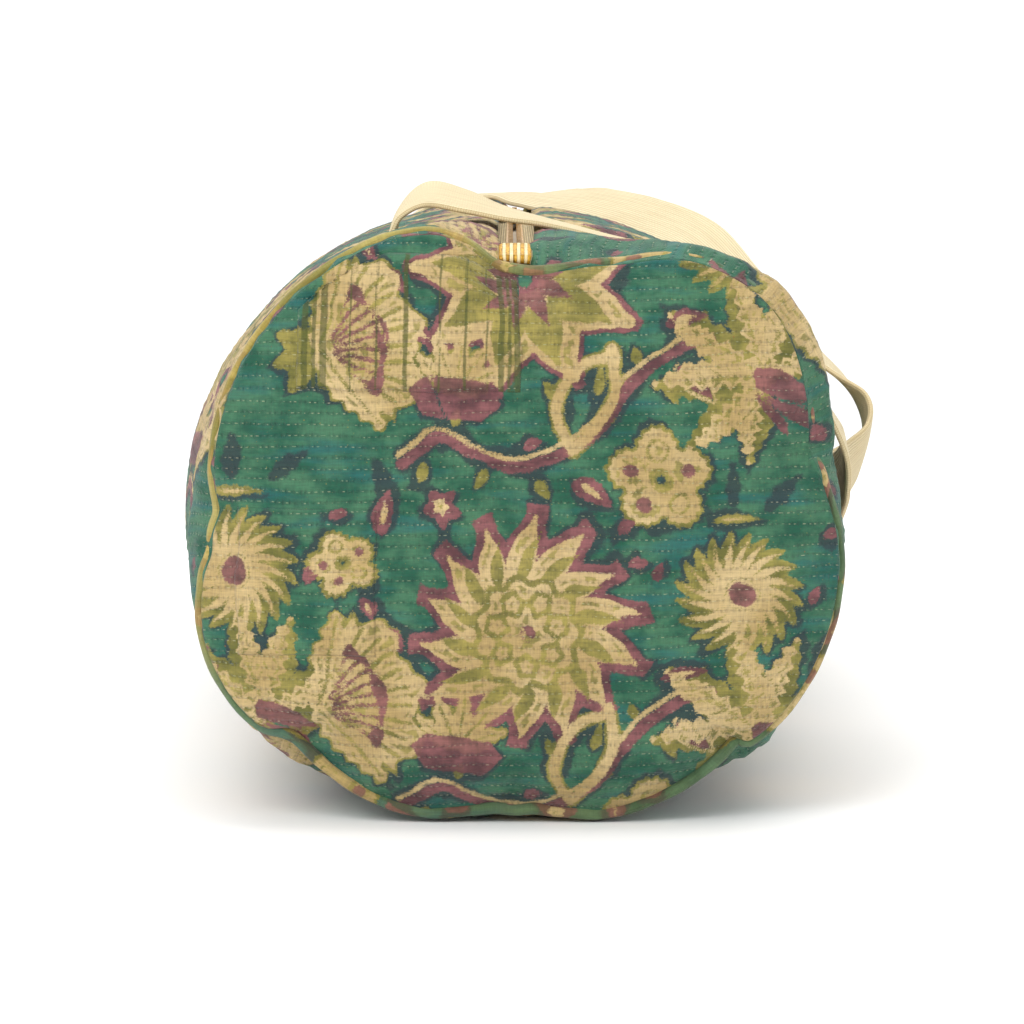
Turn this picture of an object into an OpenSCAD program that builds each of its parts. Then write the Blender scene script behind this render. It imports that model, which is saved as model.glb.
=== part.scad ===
// Zipped bolster pillow with a quilted cover, a stuffed insert and one cotton webbing carry strap.
// Origin: middle of the flat face it rests on. +Z is up, Y runs along the roll, front end at -Y.

/* [Body] */
// Half of the width of the stuffed roll at its middle
half_width = 142; // [135:1:150]
// Height of the roll's middle line above the ground
axis_z = 130; // [126:1:134]
// Rise from the middle line to the top of the roll
top_rise = 121; // [120:1:126]
// Drop from the middle line to where the underside would be if it weren't flattened
bottom_drop = 138; // [135:1:145]
// Distance between the two end seams
seam_length = 600; // [560:10:700]
// Thickness of the quilted cover cloth
cloth = 3; // [2:0.5:4]
// How far each end panel crowns outwards
crown = 14; // [8:1:18]
// Height of the end seams' lowest point above the ground
foot_lift = 5.6; // [5.6:0.1:8]

/* [Piping] */
// Outer radius of the piping
piping_r = 2.5; // [2:0.1:2.6]
// Radius of the cord inside the piping
piping_cord_r = 1.4; // [1:0.1:1.6]

/* [Zip] */
// Width of the gap in the cover that shows the zip
zip_gap = 18; // [17:0.5:20]
// Height of the top of the zip's tapes
zip_z = 244.2; // [243.6:0.2:244.2]
// Width of each tape
tape_w = 10; // [8:0.5:12]
// Thickness of each tape
tape_t = 0.8; // [0.5:0.1:1]
// Pitch of the teeth along one side
tooth_pitch = 3; // [2.5:0.5:4]
// Half length of the run of teeth
teeth_half = 266; // [240:1:268]
// Length of the slider
slider_len = 17; // [14:0.5:20]
// Width of the slider
slider_w = 12; // [11.4:0.2:13]
// Length of the pull tab
pull_len = 28; // [20:1:36]

/* [Strap] */
// Width of the webbing
strap_w = 38; // [30:1:40]
// Thickness of the webbing
strap_t = 2.5; // [1.5:0.1:3]
// Distance from the middle of the roll to the middle of each sewn strap end
strap_base_y = 236; // [226:1:240]
// Length of each sewn strap end
tail_len = 30; // [20:1:34]

/* [Insert] */
// Gap taken off the roll's outline for the insert
insert_inset = 8; // [8:0.5:12]
// Thickness of the insert's ticking
ticking = 1.2; // [0.8:0.1:1.5]
// Thickness of the batting wrapped around the fill
wrap_t = 12; // [6:1:20]

/* [Patches] */
// Thickness of the patches on the front end panel
patch_t = 1; // [0.6:0.1:1.4]

/* [Hidden] */

gap = 0.3;                                   // running gap between pieces that face each other
half_len = seam_length / 2;
segs = 48;                                   // segments around the roll
side_taper = 0.07;                           // how much the ends are narrower than the middle
top_taper = 0.03;                            // how much the ends are lower than the middle
lip_z = zip_z + cloth + 1;                   // top of the cloth beside the zip
gap_angle = asin(zip_gap / 2 / half_width);  // half of the zip gap as an angle about the middle line
roll_stations = [-1, -0.97, -0.92, -0.84, -0.7, -0.45, 0, 0.45, 0.7, 0.84, 0.92, 0.97, 1];

chain_z = zip_z - tape_t / 2;                // middle plane of the zip
tooth_tip = 0.9;                             // the teeth stop this far from the middle
chain_half = 4;                              // half width of the chain of teeth
tooth_h = 2.6;                               // height of a tooth
plate_t = 1.3;                               // thickness of the slider's plates
plate_low = tooth_h / 2 + gap;               // inner face of a plate above the chain's middle
slider_y = teeth_half - slider_len / 2 + 0.5;
lug_h = 3.4;                                 // height of the slider's lug
pin_r = 0.8;                                 // radius of the pull's cross bar
pin_z = chain_z + plate_low + plate_t + 1.5; // height of the pull's cross bar

insert_half = half_len - 10;
layer_gap = 1.2;                             // room between the insert's layers

// Smooth step from 0 at a to 1 at b
function smooth(a, b, v) = let (t = min(1, max(0, (v - a) / (b - a)))) t * t * (3 - 2 * t);

// A point of the roll's skin: angle t from the top, clockwise seen from the front, at place y
function skin(t, y, inset, floor_z) =
    let (
        u = abs(y) / half_len,
        x = (half_width - inset) * (1 - (side_taper + 0.04 * cos(t)) * pow(u, 6)) * sin(t),
        rise = (top_rise - inset) * (1 - top_taper * pow(u, 2.5)),
        raw = axis_z + (cos(t) > 0 ? rise : bottom_drop - inset) * cos(t),
        dip = max(0, axis_z + rise - lip_z + inset) * (1 - smooth(19, 38, abs(x)))
    )
    [x, y, max(floor_z + foot_lift * pow(u, 6), cos(t) > 0 ? raw - dip : raw)];

// How far an end bulges at x, z, as a share of its crown
function bulge(x, z) =
    max(0, 1 - pow(x / (half_width * 0.93), 2) - pow((z - axis_z) / (top_rise * 0.93), 2));

// Faces of a closed tube of rings, each with n points, as triangles
function tube_faces(rings, n) = [
    for (k = [0 : rings - 2]) for (i = [0 : n - 1])
        let (a = k * n + i, b = k * n + (i + 1) % n)
        each [[a, b, b + n], [a, b + n, a + n]]
];

// Faces that close both ends of a tube whose rings run out along n points and back along n more
function strip_caps(n, last) = [
    for (i = [0 : n - 2])
        let (a = i, b = i + 1, c = 2 * n - 2 - i, d = 2 * n - 1 - i)
        each [
            [b, a, d],
            [b, d, c],
            [last + a, last + b, last + c],
            [last + a, last + c, last + d]
        ]
];

// A solid from rings of equal length, closed by a flat face at each end
module loft(rings) {
    n = len(rings[0]);
    last = (len(rings) - 1) * n;
    points = [for (ring = rings) for (p = ring) p];
    caps = [[for (i = [n - 1 : -1 : 0]) i], [for (i = [0 : n - 1]) last + i]];
    polyhedron(points, concat(tube_faces(len(rings), n), caps), convexity = 6);
}

// A solid from rings that close on themselves, as a ring of sections
module ring_loft(sections) {
    n = len(sections[0]);
    m = len(sections);
    points = [for (section = sections) for (p = section) p];
    faces = [
        for (k = [0 : m - 1]) for (i = [0 : n - 1])
            let (
                a = k * n + i,
                b = k * n + (i + 1) % n,
                c = ((k + 1) % m) * n + (i + 1) % n,
                d = ((k + 1) % m) * n + i
            )
            each [[a, b, c], [a, c, d]]
    ];
    polyhedron(points, faces, convexity = 6);
}

// A walled tube of the roll, open along the zip when from_angle is over 0
module roll_shell(inset, wall, floor_z, wall_floor, reach, from_angle) {
    step = (360 - 2 * from_angle) / segs;
    angles = [for (i = [0 : segs]) from_angle + i * step];
    n = len(angles);
    rings = [
        for (s = roll_stations) concat(
            [for (t = angles) skin(t, s * reach, inset, floor_z)],
            [for (i = [n - 1 : -1 : 0]) skin(angles[i], s * reach, inset + wall, wall_floor)]
        )
    ];
    m = 2 * n;
    points = [for (ring = rings) for (p = ring) p];
    caps = strip_caps(n, (len(rings) - 1) * m);
    polyhedron(points, concat(tube_faces(len(rings), m), caps), convexity = 8);
}

// A closed ring wall of the roll, without a gap
module roll_sleeve(inset, wall, floor_z, wall_floor, reach) {
    outer = [for (s = roll_stations) [for (i = [0 : segs - 1]) skin(i * 360 / segs, s * reach, inset, floor_z)]];
    inner = [
        for (s = roll_stations)
            [for (i = [0 : segs - 1]) skin(i * 360 / segs, s * reach, inset + wall, wall_floor)]
    ];
    r = len(roll_stations);
    ring_loft([
        for (i = [0 : segs - 1])
            concat([for (k = [0 : r - 1]) outer[k][i]], [for (k = [r - 1 : -1 : 0]) inner[k][i]])
    ]);
}

// A crowned disc that closes one end: side is -1 at the front and 1 at the rear
module end_disc(side, inset, floor_z, start, wall, height) {
    rings = [1, 0.94, 0.82, 0.66, 0.48, 0.28, 0.1];
    edge = [for (i = [0 : segs - 1]) skin(i * 360 / segs, half_len, inset, floor_z)];
    function at(share, i, lift) =
        let (x = edge[i][0] * share, z = axis_z + (edge[i][2] - axis_z) * share)
        [x, side * (start + lift + height * bulge(x, z)), z];
    order = side < 0 ? [for (i = [0 : segs - 1]) i] : [for (i = [segs - 1 : -1 : 0]) i];
    loft(concat(
        [for (k = [len(rings) - 1 : -1 : 0]) [for (i = order) at(rings[k], i, 0)]],
        [for (share = rings) [for (i = order) at(share, i, wall)]]
    ));
}

// Points around the end seam, pushed outwards by out, with their outward directions
function seam_points(out) = [
    for (i = [0 : segs - 1])
        let (
            before = skin((i - 1) * 360 / segs, half_len, 0, 0),
            after = skin((i + 1) * 360 / segs, half_len, 0, 0),
            here = skin(i * 360 / segs, half_len, 0, 0),
            run = after - before,
            turned = [-run[2], 0, run[0]] / norm(run)
        )
        [here + out * turned, turned]
];

// Piping around an end seam: a tube with a bore when bore is over 0
module seam_roll(side, r, bore, sides) {
    centres = seam_points(piping_r + gap);
    y = side * (half_len + 1.5);
    function around(c, n, radius) = [
        for (j = [0 : sides - 1])
            [c[0], y, c[2]] + radius * (cos(j * 360 / sides) * n + sin(j * 360 / sides) * [0, 1, 0])
    ];
    difference() {
        ring_loft([for (c = centres) around(c[0], c[1], r)]);
        if (bore > 0) {
            ring_loft([for (c = centres) around(c[0], c[1], bore)]);
        }
    }
}

// Height at which the top of the end seam lies over x
function seam_top(x) = axis_z + top_rise * (1 - top_taper) * sqrt(1 - pow(x / half_width / 0.9, 2));

// A flat patch that lies on the crowned front panel, between x0..x1 and z0..z1, kept off the seam
module panel_patch(x0, x1, z0, z1) {
    nx = 6;
    face_y = half_len + cloth + 3 * gap;
    function at(x, z, lift) = [x, -(face_y + lift + crown * bulge(x, z)), z];
    xs = [for (i = [0 : nx]) x0 + (x1 - x0) * i / nx];
    function up(x, i) = z0 + (min(z1, seam_top(x) - 4) - z0) * i / nx;
    rings = [
        for (i = [0 : nx]) concat(
            [for (x = xs) at(x, up(x, i), patch_t)],
            [for (j = [nx : -1 : 0]) at(xs[j], up(xs[j], i), 0)]
        )
    ];
    n = nx + 1;
    points = [for (ring = rings) for (p = ring) p];
    polyhedron(points, concat(tube_faces(n, 2 * n), strip_caps(n, nx * 2 * n)), convexity = 4);
}

module cover_body() {
    color("seagreen")
    roll_shell(0, cloth, 0, cloth, half_len, gap_angle);
}

module front_end_panel() {
    color("darkcyan")
    end_disc(-1, 0, 0, half_len + gap, cloth, crown);
}

module rear_end_panel() {
    color("darkcyan")
    end_disc(1, 0, 0, half_len + gap, cloth, crown);
}

module front_piping() {
    color("darkolivegreen")
    seam_roll(-1, piping_r, piping_cord_r + 0.1, 10);
}

module rear_piping() {
    color("darkolivegreen")
    seam_roll(1, piping_r, piping_cord_r + 0.1, 10);
}

module front_piping_cord() {
    color("ivory")
    seam_roll(-1, piping_cord_r, 0, 6);
}

module rear_piping_cord() {
    color("ivory")
    seam_roll(1, piping_cord_r, 0, 6);
}

module patch_striped() {
    color("olivedrab")
    panel_patch(-91, 2, 186, 260);
}

module patch_plain() {
    color("teal")
    panel_patch(-118, -57, 75, 137);
}

// One tape of the zip: side is -1 on the left and 1 on the right
module zip_tape(side) {
    x = side < 0 ? -chain_half - tape_w : chain_half;
    translate([x, -teeth_half - 6, zip_z - tape_t])
    cube([tape_w, 2 * teeth_half + 12, tape_t]);
}

module zip_tape_left() {
    color("cornsilk")
    zip_tape(-1);
}

module zip_tape_right() {
    color("cornsilk")
    zip_tape(1);
}

// One side of the chain: a comb whose teeth point at the middle
module teeth(side, shift) {
    count = floor((2 * teeth_half - 4) / tooth_pitch);
    spine = chain_half - 0.1;
    root = chain_half - 0.9;
    tooth = tooth_pitch / 2;
    comb = concat(
        [[spine, -teeth_half], [spine, teeth_half]],
        [
            for (i = [count - 1 : -1 : 0])
                let (y = -teeth_half + 1 + shift + i * tooth_pitch)
                each [[root, y + tooth], [tooth_tip, y + tooth - 0.25], [tooth_tip, y + 0.25], [root, y]]
        ]
    );
    translate([0, 0, chain_z - tooth_h / 2])
    linear_extrude(tooth_h)
    polygon(side > 0 ? comb : [for (i = [len(comb) - 1 : -1 : 0]) [-comb[i][0], comb[i][1]]]);
}

module zip_teeth_left() {
    color("goldenrod")
    teeth(-1, 0);
}

module zip_teeth_right() {
    color("goldenrod")
    teeth(1, tooth_pitch / 2);
}

module zip_top_stops() {
    color("goldenrod")
    for (side = [-1, 1]) {
        translate([side * 2.5 - 1.5, teeth_half + 0.6, chain_z - 1.6])
        cube([3, 3.2, 3.2]);
    }
}

module zip_bottom_stop() {
    color("goldenrod")
    translate([-chain_half + 0.1, -teeth_half - 4.2, chain_z - 1.6])
    cube([2 * chain_half - 0.2, 3.6, 3.2]);
}

// A fabric tab that closes the gap between the zip and the end seam
module zip_tab(side) {
    run = half_len - teeth_half - 7;
    tab_w = zip_gap - 3.4;
    rotate([side * -4, 0, 0])
    translate([-tab_w / 2, side > 0 ? 0 : -run, -cloth])
    cube([tab_w, run, cloth]);
}

module zip_tab_front() {
    color("seagreen")
    translate([0, -teeth_half - 6.4, zip_z + 2.4])
    zip_tab(-1);
}

module zip_tab_rear() {
    color("seagreen")
    translate([0, teeth_half + 6.4, zip_z + 2.4])
    zip_tab(1);
}

// Outline of the slider's plates, with rounded corners
module slider_outline() {
    r = 2.5;
    half_w = slider_w / 2;
    half_l = slider_len / 2;
    square([slider_w - 2 * r, slider_len], center = true);
    square([slider_w, slider_len - 2 * r], center = true);
    for (x = [-1, 1]) {
        for (y = [-1, 1]) {
            translate([x * (half_w - r), y * (half_l - r)])
            circle(r = r, $fn = 32);
        }
    }
}

// Lug over the slider that holds the pull's cross bar
module slider_lug() {
    lug_len = 9;
    rotate([90, 0, 90])
    translate([0, 0, -1.4])
    linear_extrude(2.8)
    difference() {
        translate([-lug_len / 2, 0])
        square([lug_len, lug_h]);
        translate([-1.4, 0.45])
        square([2.8, 2.1]);
        translate([-1.4, 1.5])
        circle(r = pin_r + 0.25, $fn = 32);
        translate([1.4, 1.5])
        circle(r = pin_r + 0.25, $fn = 32);
    }
}

module zip_slider() {
    color("goldenrod")
    translate([0, slider_y, chain_z]) {
        for (side = [-1, 1]) {
            translate([0, 0, side > 0 ? plate_low : -plate_low - plate_t])
            linear_extrude(plate_t)
            slider_outline();
            for (x = [-1, 1]) {
                translate([x > 0 ? chain_half + 0.3 : -slider_w / 2 + 0.1, -slider_len / 2 + 2.5,
                    side > 0 ? tape_t / 2 + gap : -plate_low])
                cube([slider_w / 2 - 0.1 - chain_half - 0.3, slider_len - 5, plate_low - tape_t / 2 - gap]);
            }
        }
        translate([-0.5, -slider_len / 2 + 1, -plate_low])
        cube([1, 5, 2 * plate_low]);
        translate([0, 0, plate_low + plate_t])
        slider_lug();
    }
}

// Pull tab with a slot around the lug and a cross bar through it, lying towards the front
module zip_pull() {
    arm = 3.4;
    color("goldenrod")
    translate([0, slider_y, pin_z]) {
        translate([-3.2, 0, 0])
        rotate([0, 90, 0])
        cylinder(r = pin_r, h = 6.4, $fn = 32);
        for (x = [-1, 1]) {
            translate([x > 0 ? 1.8 : -3.2, -arm - 3.6, -pin_r])
            cube([1.4, arm + 3.6 + pin_r, 2 * pin_r]);
        }
        translate([0, 0, -pin_r])
        linear_extrude(2 * pin_r)
        difference() {
            union() {
                translate([-3.2, -pull_len + 4.5])
                square([6.4, pull_len - 4.5 - 5.6]);
                translate([0, -pull_len + 4.5])
                circle(r = 4.5, $fn = 48);
            }
            translate([0, -pull_len + 4.5])
            circle(r = 2.2, $fn = 48);
        }
    }
}

// Angle on the roll where the sewn strap ends stop
base_angle = -25;

// A sewn strap end that lies on the left shoulder: side is -1 at the front and 1 at the rear
module strap_tail(side) {
    steps = 5;
    sweep = tail_len / half_width * 180 / PI;
    y0 = side * strap_base_y - strap_w / 2;
    y1 = y0 + strap_w;
    function at(t, y, lift) =
        let (p = skin(t, y, 0, 0), out = [sin(t), 0, cos(t)])
        p + lift * out;
    // The ring of one angle: across the webbing below, then back above
    function ring(t) =
        let (ys = [for (j = [0 : 4]) y0 + (y1 - y0) * j / 4])
        concat(
            [for (y = ys) at(t, y, gap + 0.2)],
            [for (j = [4 : -1 : 0]) at(t, ys[j], gap + 0.2 + strap_t)]
        );
    loft([for (i = [0 : steps]) ring(base_angle - sweep + sweep * i / steps)]);
}

module strap_tail_front() {
    color("blanchedalmond")
    strap_tail(-1);
}

module strap_tail_rear() {
    color("blanchedalmond")
    strap_tail(1);
}

// The strap's route: middle of the webbing and the direction across it, chosen by hand
strap_route = [
    [[-55, -236, 246], [0, 1, 0]],
    [[-50, -236, 259], [0, 1, 0.12]],
    [[-38, -236, 267], [0, 1, 0.24]],
    [[-22, -236, 264], [0, 1, 0.22]],
    [[-6, -235, 259], [0, 1, 0.12]],
    [[12, -233, 255], [0, 1, 0.04]],
    [[34, -231, 249.5], [0.05, 1, 0]],
    [[65, -229, 239.5], [0.05, 1, 0]],
    [[99, -226, 219], [0, 1, 0]],
    [[128, -220, 187], [0, 1, 0.05]],
    [[145, -209, 160], [0, 1, 0.2]],
    [[149, -196, 143], [0, 1, 0.5]],
    [[147, -178, 131], [0, 0.8, 0.9]],
    [[146, -155, 128], [0, 0.2, 1]],
    [[153, -134, 134], [0.2, -0.3, 1]],
    [[164, -119, 146], [0.1, -0.8, 0.8]],
    [[165, -106, 162], [0, -0.95, 0.3]],
    [[153, -93, 178], [-0.1, -1, 0]],
    [[137, -78, 193], [-0.25, -1, 0]],
    [[123, -59, 208.5], [-0.3, -1, -0.1]],
    [[107.5, -36, 224], [-0.3, -0.9, -0.2]],
    [[88, 2, 241.5], [-0.27, -0.9, -0.3]],
    [[63, 48, 251.5], [-0.2, -0.9, -0.28]],
    [[38, 98, 257], [-0.05, -1, -0.18]],
    [[20, 142, 258], [0, -1, -0.08]],
    [[7, 182, 258], [0.1, -1, 0]],
    [[-8, 214, 257.5], [0.1, -1, 0]],
    [[-27, 231, 256], [0, -1, 0]],
    [[-45, 236, 252], [0, -1, 0]],
    [[-55, 236, 246], [0, -1, 0]]
];

// Catmull-Rom curve through values a, b, c, d, from b at 0 to c at 1
function curve(a, b, c, d, t) =
    0.5 * (2 * b + (c - a) * t + (2 * a - 5 * b + 4 * c - d) * t * t + (3 * b - a - 3 * c + d) * pow(t, 3));

function route_at(i, k, t) =
    let (last = len(strap_route) - 1)
    curve(
        strap_route[max(0, i - 1)][k], strap_route[i][k],
        strap_route[i + 1][k], strap_route[min(last, i + 2)][k], t
    );

module carry_strap() {
    per_leg = 4;
    last = len(strap_route) - 2;
    stations = [
        for (i = [0 : last]) for (j = [0 : per_leg - 1])
            [route_at(i, 0, j / per_leg), route_at(i, 1, j / per_leg)],
        strap_route[last + 1]
    ];
    n = len(stations);
    rings = [
        for (k = [0 : n - 1])
            let (
                run = stations[min(n - 1, k + 1)][0] - stations[max(0, k - 1)][0],
                along = run / norm(run),
                side = stations[k][1] - (stations[k][1] * along) * along,
                across = side / norm(side),
                normal = cross(along, across),
                w = across * strap_w / 2,
                h = normal * strap_t / 2,
                c = stations[k][0]
            )
            [c - w - h, c + w - h, c + w + h, c - w + h]
    ];
    color("blanchedalmond")
    loft(rings);
}

module insert_case() {
    color("linen")
    roll_sleeve(insert_inset, ticking, cloth + 0.6, cloth + 0.6 + ticking, insert_half);
}

module insert_end_front() {
    color("linen")
    end_disc(-1, insert_inset, cloth + 0.6, insert_half + gap, ticking, crown - 2);
}

module insert_end_rear() {
    color("linen")
    end_disc(1, insert_inset, cloth + 0.6, insert_half + gap, ticking, crown - 2);
}

module insert_wrap() {
    in = insert_inset + ticking + layer_gap;
    low = cloth + 0.6 + ticking + gap;
    color("white")
    roll_sleeve(in, wrap_t, low, low + wrap_t, insert_half - gap);
}

module insert_fill() {
    in = insert_inset + ticking + wrap_t + 2 * layer_gap;
    low = cloth + 0.6 + ticking + wrap_t + 2 * gap;
    color("whitesmoke")
    loft([
        for (s = roll_stations)
            [for (i = [segs - 1 : -1 : 0]) skin(i * 360 / segs, s * (insert_half - gap), in, low)]
    ]);
}

cover_body();
front_end_panel();
rear_end_panel();
front_piping();
rear_piping();
front_piping_cord();
rear_piping_cord();
patch_striped();
patch_plain();
zip_tape_left();
zip_tape_right();
zip_teeth_left();
zip_teeth_right();
zip_top_stops();
zip_bottom_stop();
zip_tab_front();
zip_tab_rear();
zip_slider();
zip_pull();
strap_tail_front();
strap_tail_rear();
carry_strap();
insert_case();
insert_end_front();
insert_end_rear();
insert_wrap();
insert_fill();
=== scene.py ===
import math

import bmesh
import bpy
import numpy as np
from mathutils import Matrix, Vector, kdtree


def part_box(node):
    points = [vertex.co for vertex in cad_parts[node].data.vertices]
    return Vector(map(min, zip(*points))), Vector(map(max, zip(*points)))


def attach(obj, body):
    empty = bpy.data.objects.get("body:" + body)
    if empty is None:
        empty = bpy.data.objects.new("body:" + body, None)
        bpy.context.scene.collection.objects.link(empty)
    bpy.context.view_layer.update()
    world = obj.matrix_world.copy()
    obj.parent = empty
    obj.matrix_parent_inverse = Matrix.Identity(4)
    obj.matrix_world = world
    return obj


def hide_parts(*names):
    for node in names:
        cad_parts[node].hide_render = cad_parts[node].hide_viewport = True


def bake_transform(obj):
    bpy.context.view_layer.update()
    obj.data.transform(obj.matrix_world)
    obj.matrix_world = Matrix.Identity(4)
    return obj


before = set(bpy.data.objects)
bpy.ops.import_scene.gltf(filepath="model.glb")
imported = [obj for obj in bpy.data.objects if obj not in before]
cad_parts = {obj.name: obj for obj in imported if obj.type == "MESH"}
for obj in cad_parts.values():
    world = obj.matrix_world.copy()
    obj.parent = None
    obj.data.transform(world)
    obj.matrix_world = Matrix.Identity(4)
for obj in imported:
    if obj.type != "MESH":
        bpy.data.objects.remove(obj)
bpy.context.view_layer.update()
MM = 0.001

# ---------------------------------------------------------------- sizes, from the frame, in metres
HALF_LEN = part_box("cover_body")[1].y
PANEL_FACE = -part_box("front_end_panel")[0].y
SWELLING = 3.3 * MM            # what the settling adds to an end panel's bulge
CROWN = PANEL_FACE - HALF_LEN - SWELLING
AXIS_Z = 125 * MM              # the middle line that the outlines below are measured from
RING = 96                      # low-resolution steps around the roll
ALONG = 72                     # low-resolution steps along the roll
DISC = RING // 4               # low-resolution steps across an end panel
COVER_THICKNESS = 2.6 * MM

# Distance from the middle line to the cloth, by angle from the top, clockwise seen from the front.
FRONT_OUTLINE = [
    (-180, 125.5), (-166, 127.5), (-157, 131), (-145, 134), (-131, 137), (-120, 140), (-111, 140),
    (-103, 137), (-95, 131), (-86, 128.5), (-71, 132), (-60, 134), (-43, 135), (-24, 134), (-13, 129),
    (-8, 121.5), (-2, 117),
    (6, 115.5), (12, 117.5), (22, 123), (33, 136), (46, 142.5), (54, 141), (66, 134), (73, 130), (81, 131),
    (92, 136), (104, 138), (117, 138), (130, 137), (144, 135), (156, 131), (168, 127), (180, 125.5),
]
REAR_OUTLINE = [
    (-180, 125.5), (-157, 131), (-131, 137), (-105, 138), (-90, 137), (-75, 135), (-60, 131), (-45, 128),
    (-31, 126), (-12, 125), (0, 118), (12, 122), (31, 126), (45, 129), (60, 133), (75, 136),
    (90, 137), (105, 138), (131, 137), (157, 131), (180, 125.5),
]
# How far the cloth puffs out beyond the outlines just behind the front seam, in millimetres.
SHOULDER = [
    (-180, 0), (-120, 1), (-90, 4), (-60, 3), (-30, 2), (0, 1), (20, 2), (33, 6), (45, 9), (60, 12),
    (72, 11), (84, 5), (100, 2), (140, 2), (180, 0),
]
# Distance from the middle line to the cloth halfway along the roll.
MIDDLE_OUTLINE = [
    (-180, 125), (-160, 131), (-150, 138), (-140, 142), (-125, 143), (-105, 143), (-90, 143.5), (-75, 144),
    (-62, 143), (-45, 139), (-30, 131), (-20, 127), (-9, 125.5), (-3.6, 122.6), (3.6, 122.6), (9, 124),
    (20, 125.5), (35, 129), (50, 136), (65, 139.5), (80, 142), (90, 142), (105, 142), (125, 142.5),
    (140, 142), (150, 138), (160, 131), (180, 125),
]


def outline(points, degrees):
    """Radius in metres at each angle, on a smooth curve through the points."""
    angles = np.array([p[0] for p in points], float)
    radii = np.array([p[1] for p in points], float)
    out = np.zeros_like(degrees)
    weight = np.zeros_like(degrees)
    for shift in np.linspace(-6, 6, 7):
        share = math.exp(-(shift / 4.5) ** 2)
        out += share * np.interp((degrees + shift + 180) % 360 - 180, angles, radii)
        weight += share
    return out / weight * MM


def smooth(a, b, v):
    """0 at a, 1 at b and an easy curve between them."""
    t = np.clip((v - a) / (b - a), 0, 1)
    return t * t * (3 - 2 * t)


def waves(x, y, seed, scale, octaves=3):
    """Smooth noise of a few octaves, about -1 to 1, with features about scale long."""
    dice = np.random.default_rng(seed)
    out = np.zeros_like(x)
    size = 1.0
    for _ in range(octaves):
        for _ in range(5):
            turn, phase, pitch = dice.uniform(0, 6.28, 3)
            k = 2 * math.pi / (scale * (0.7 + 0.1 * pitch))
            out += size * np.sin(k * (x * math.cos(turn) + y * math.sin(turn)) + phase)
        scale, size = scale * 0.5, size * 0.5
    return out / 4


# ---------------------------------------------------------------- shapes of the cloth
def roll_point(degrees, y):
    """Where the cover's cloth runs at an angle from the top and a place along the roll."""
    u = np.abs(y) / HALF_LEN
    middle = outline(MIDDLE_OUTLINE, degrees)
    ends = np.where(y < 0, outline(FRONT_OUTLINE, degrees), outline(REAR_OUTLINE, degrees))
    # The middle's outline turns into the end's over the last part of the roll's length.
    share = smooth(0.62, 1.0, u) ** 1.6
    radius = middle * (1 - share) + ends * share
    # The shoulder stands in a band from 12 to 44 mm behind the seam.
    behind_seam = (HALF_LEN - np.abs(y)) / MM
    puff = smooth(0, 12, behind_seam) * smooth(44, 26, behind_seam)
    radius = radius + puff * np.where(y < 0, outline(SHOULDER, degrees), 2.5 * MM)
    x = radius * np.sin(np.radians(degrees))
    z = AXIS_Z + radius * np.cos(np.radians(degrees))
    foot = 0.4 * MM + 1.2 * MM * u ** 6
    return np.stack([x, y, np.maximum(z, foot)], -1)


def disc_angles(n):
    """Maps a square grid onto a disc: each grid point's share of the radius, and its angle from the top."""
    a, b = np.meshgrid(np.linspace(-1, 1, n + 1), np.linspace(-1, 1, n + 1), indexing="ij")
    flip = np.abs(a) > np.abs(b)
    share = np.where(flip, np.abs(a), np.abs(b))
    safe_a = np.where(a == 0, 1e-9, a)
    safe_b = np.where(b == 0, 1e-9, b)
    angle = np.where(flip, math.pi / 4 * b / safe_a, math.pi / 2 - math.pi / 4 * a / safe_b)
    px = np.where(flip, a, b) * np.cos(angle)
    pz = np.where(flip, a, b) * np.sin(angle)
    return share, np.degrees(np.arctan2(px, pz))


def grid_piece(name, points, cloth=None, inks=None, join_u=False, join_v=False, flip=False, extra=None):
    """A mesh object from a grid of places, with its flat cloth as a UV map and its inks as attributes."""
    nu, nv = points.shape[:2]
    grid = bmesh.new()
    bmesh.ops.create_grid(grid, x_segments=nu - 1, y_segments=nv - 1, size=1)
    mesh = bpy.data.meshes.new(name)
    grid.to_mesh(mesh)
    grid.free()
    start = np.zeros(len(mesh.vertices) * 3)
    mesh.vertices.foreach_get("co", start)
    start = start.reshape(-1, 3)
    iu = np.rint((start[:, 0] + 1) / 2 * (nu - 1)).astype(int)
    iv = np.rint((start[:, 1] + 1) / 2 * (nv - 1)).astype(int)
    mesh.vertices.foreach_set("co", points[iu, iv].astype(float).ravel())
    corner = np.zeros(len(mesh.loops), int)
    mesh.loops.foreach_get("vertex_index", corner)
    if cloth is None:
        cloth = np.stack(np.meshgrid(np.arange(nu), np.arange(nv), indexing="ij"), -1) * MM
    layer = mesh.uv_layers.new(name="cloth")
    layer.data.foreach_set("uv", cloth[iu[corner], iv[corner]].astype(float).ravel())
    for key, field in (inks or {}).items():
        layer = mesh.attributes.new(key, "FLOAT", "POINT")
        layer.data.foreach_set("value", field[iu, iv].astype(float).ravel())
    work = bmesh.new()
    work.from_mesh(mesh)
    if join_u or join_v:
        bmesh.ops.remove_doubles(work, verts=work.verts, dist=0.002 * MM)
    if extra:
        extra(work)
    if join_u and join_v:
        bmesh.ops.recalc_face_normals(work, faces=work.faces)
    elif flip:
        bmesh.ops.reverse_faces(work, faces=work.faces)
    for face in work.faces:
        face.smooth = True
    work.to_mesh(mesh)
    work.free()
    piece = bpy.data.objects.new(name, mesh)
    bpy.context.scene.collection.objects.link(piece)
    return piece


def cubic(a, b, c, d, t):
    """The place at share t of the way from b to c, on the smooth curve through all four."""
    square, cube = 2 * a - 5 * b + 4 * c - d, 3 * b - a - 3 * c + d
    return 0.5 * (2 * b + (c - a) * t + square * t * t + cube * t ** 3)


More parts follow.
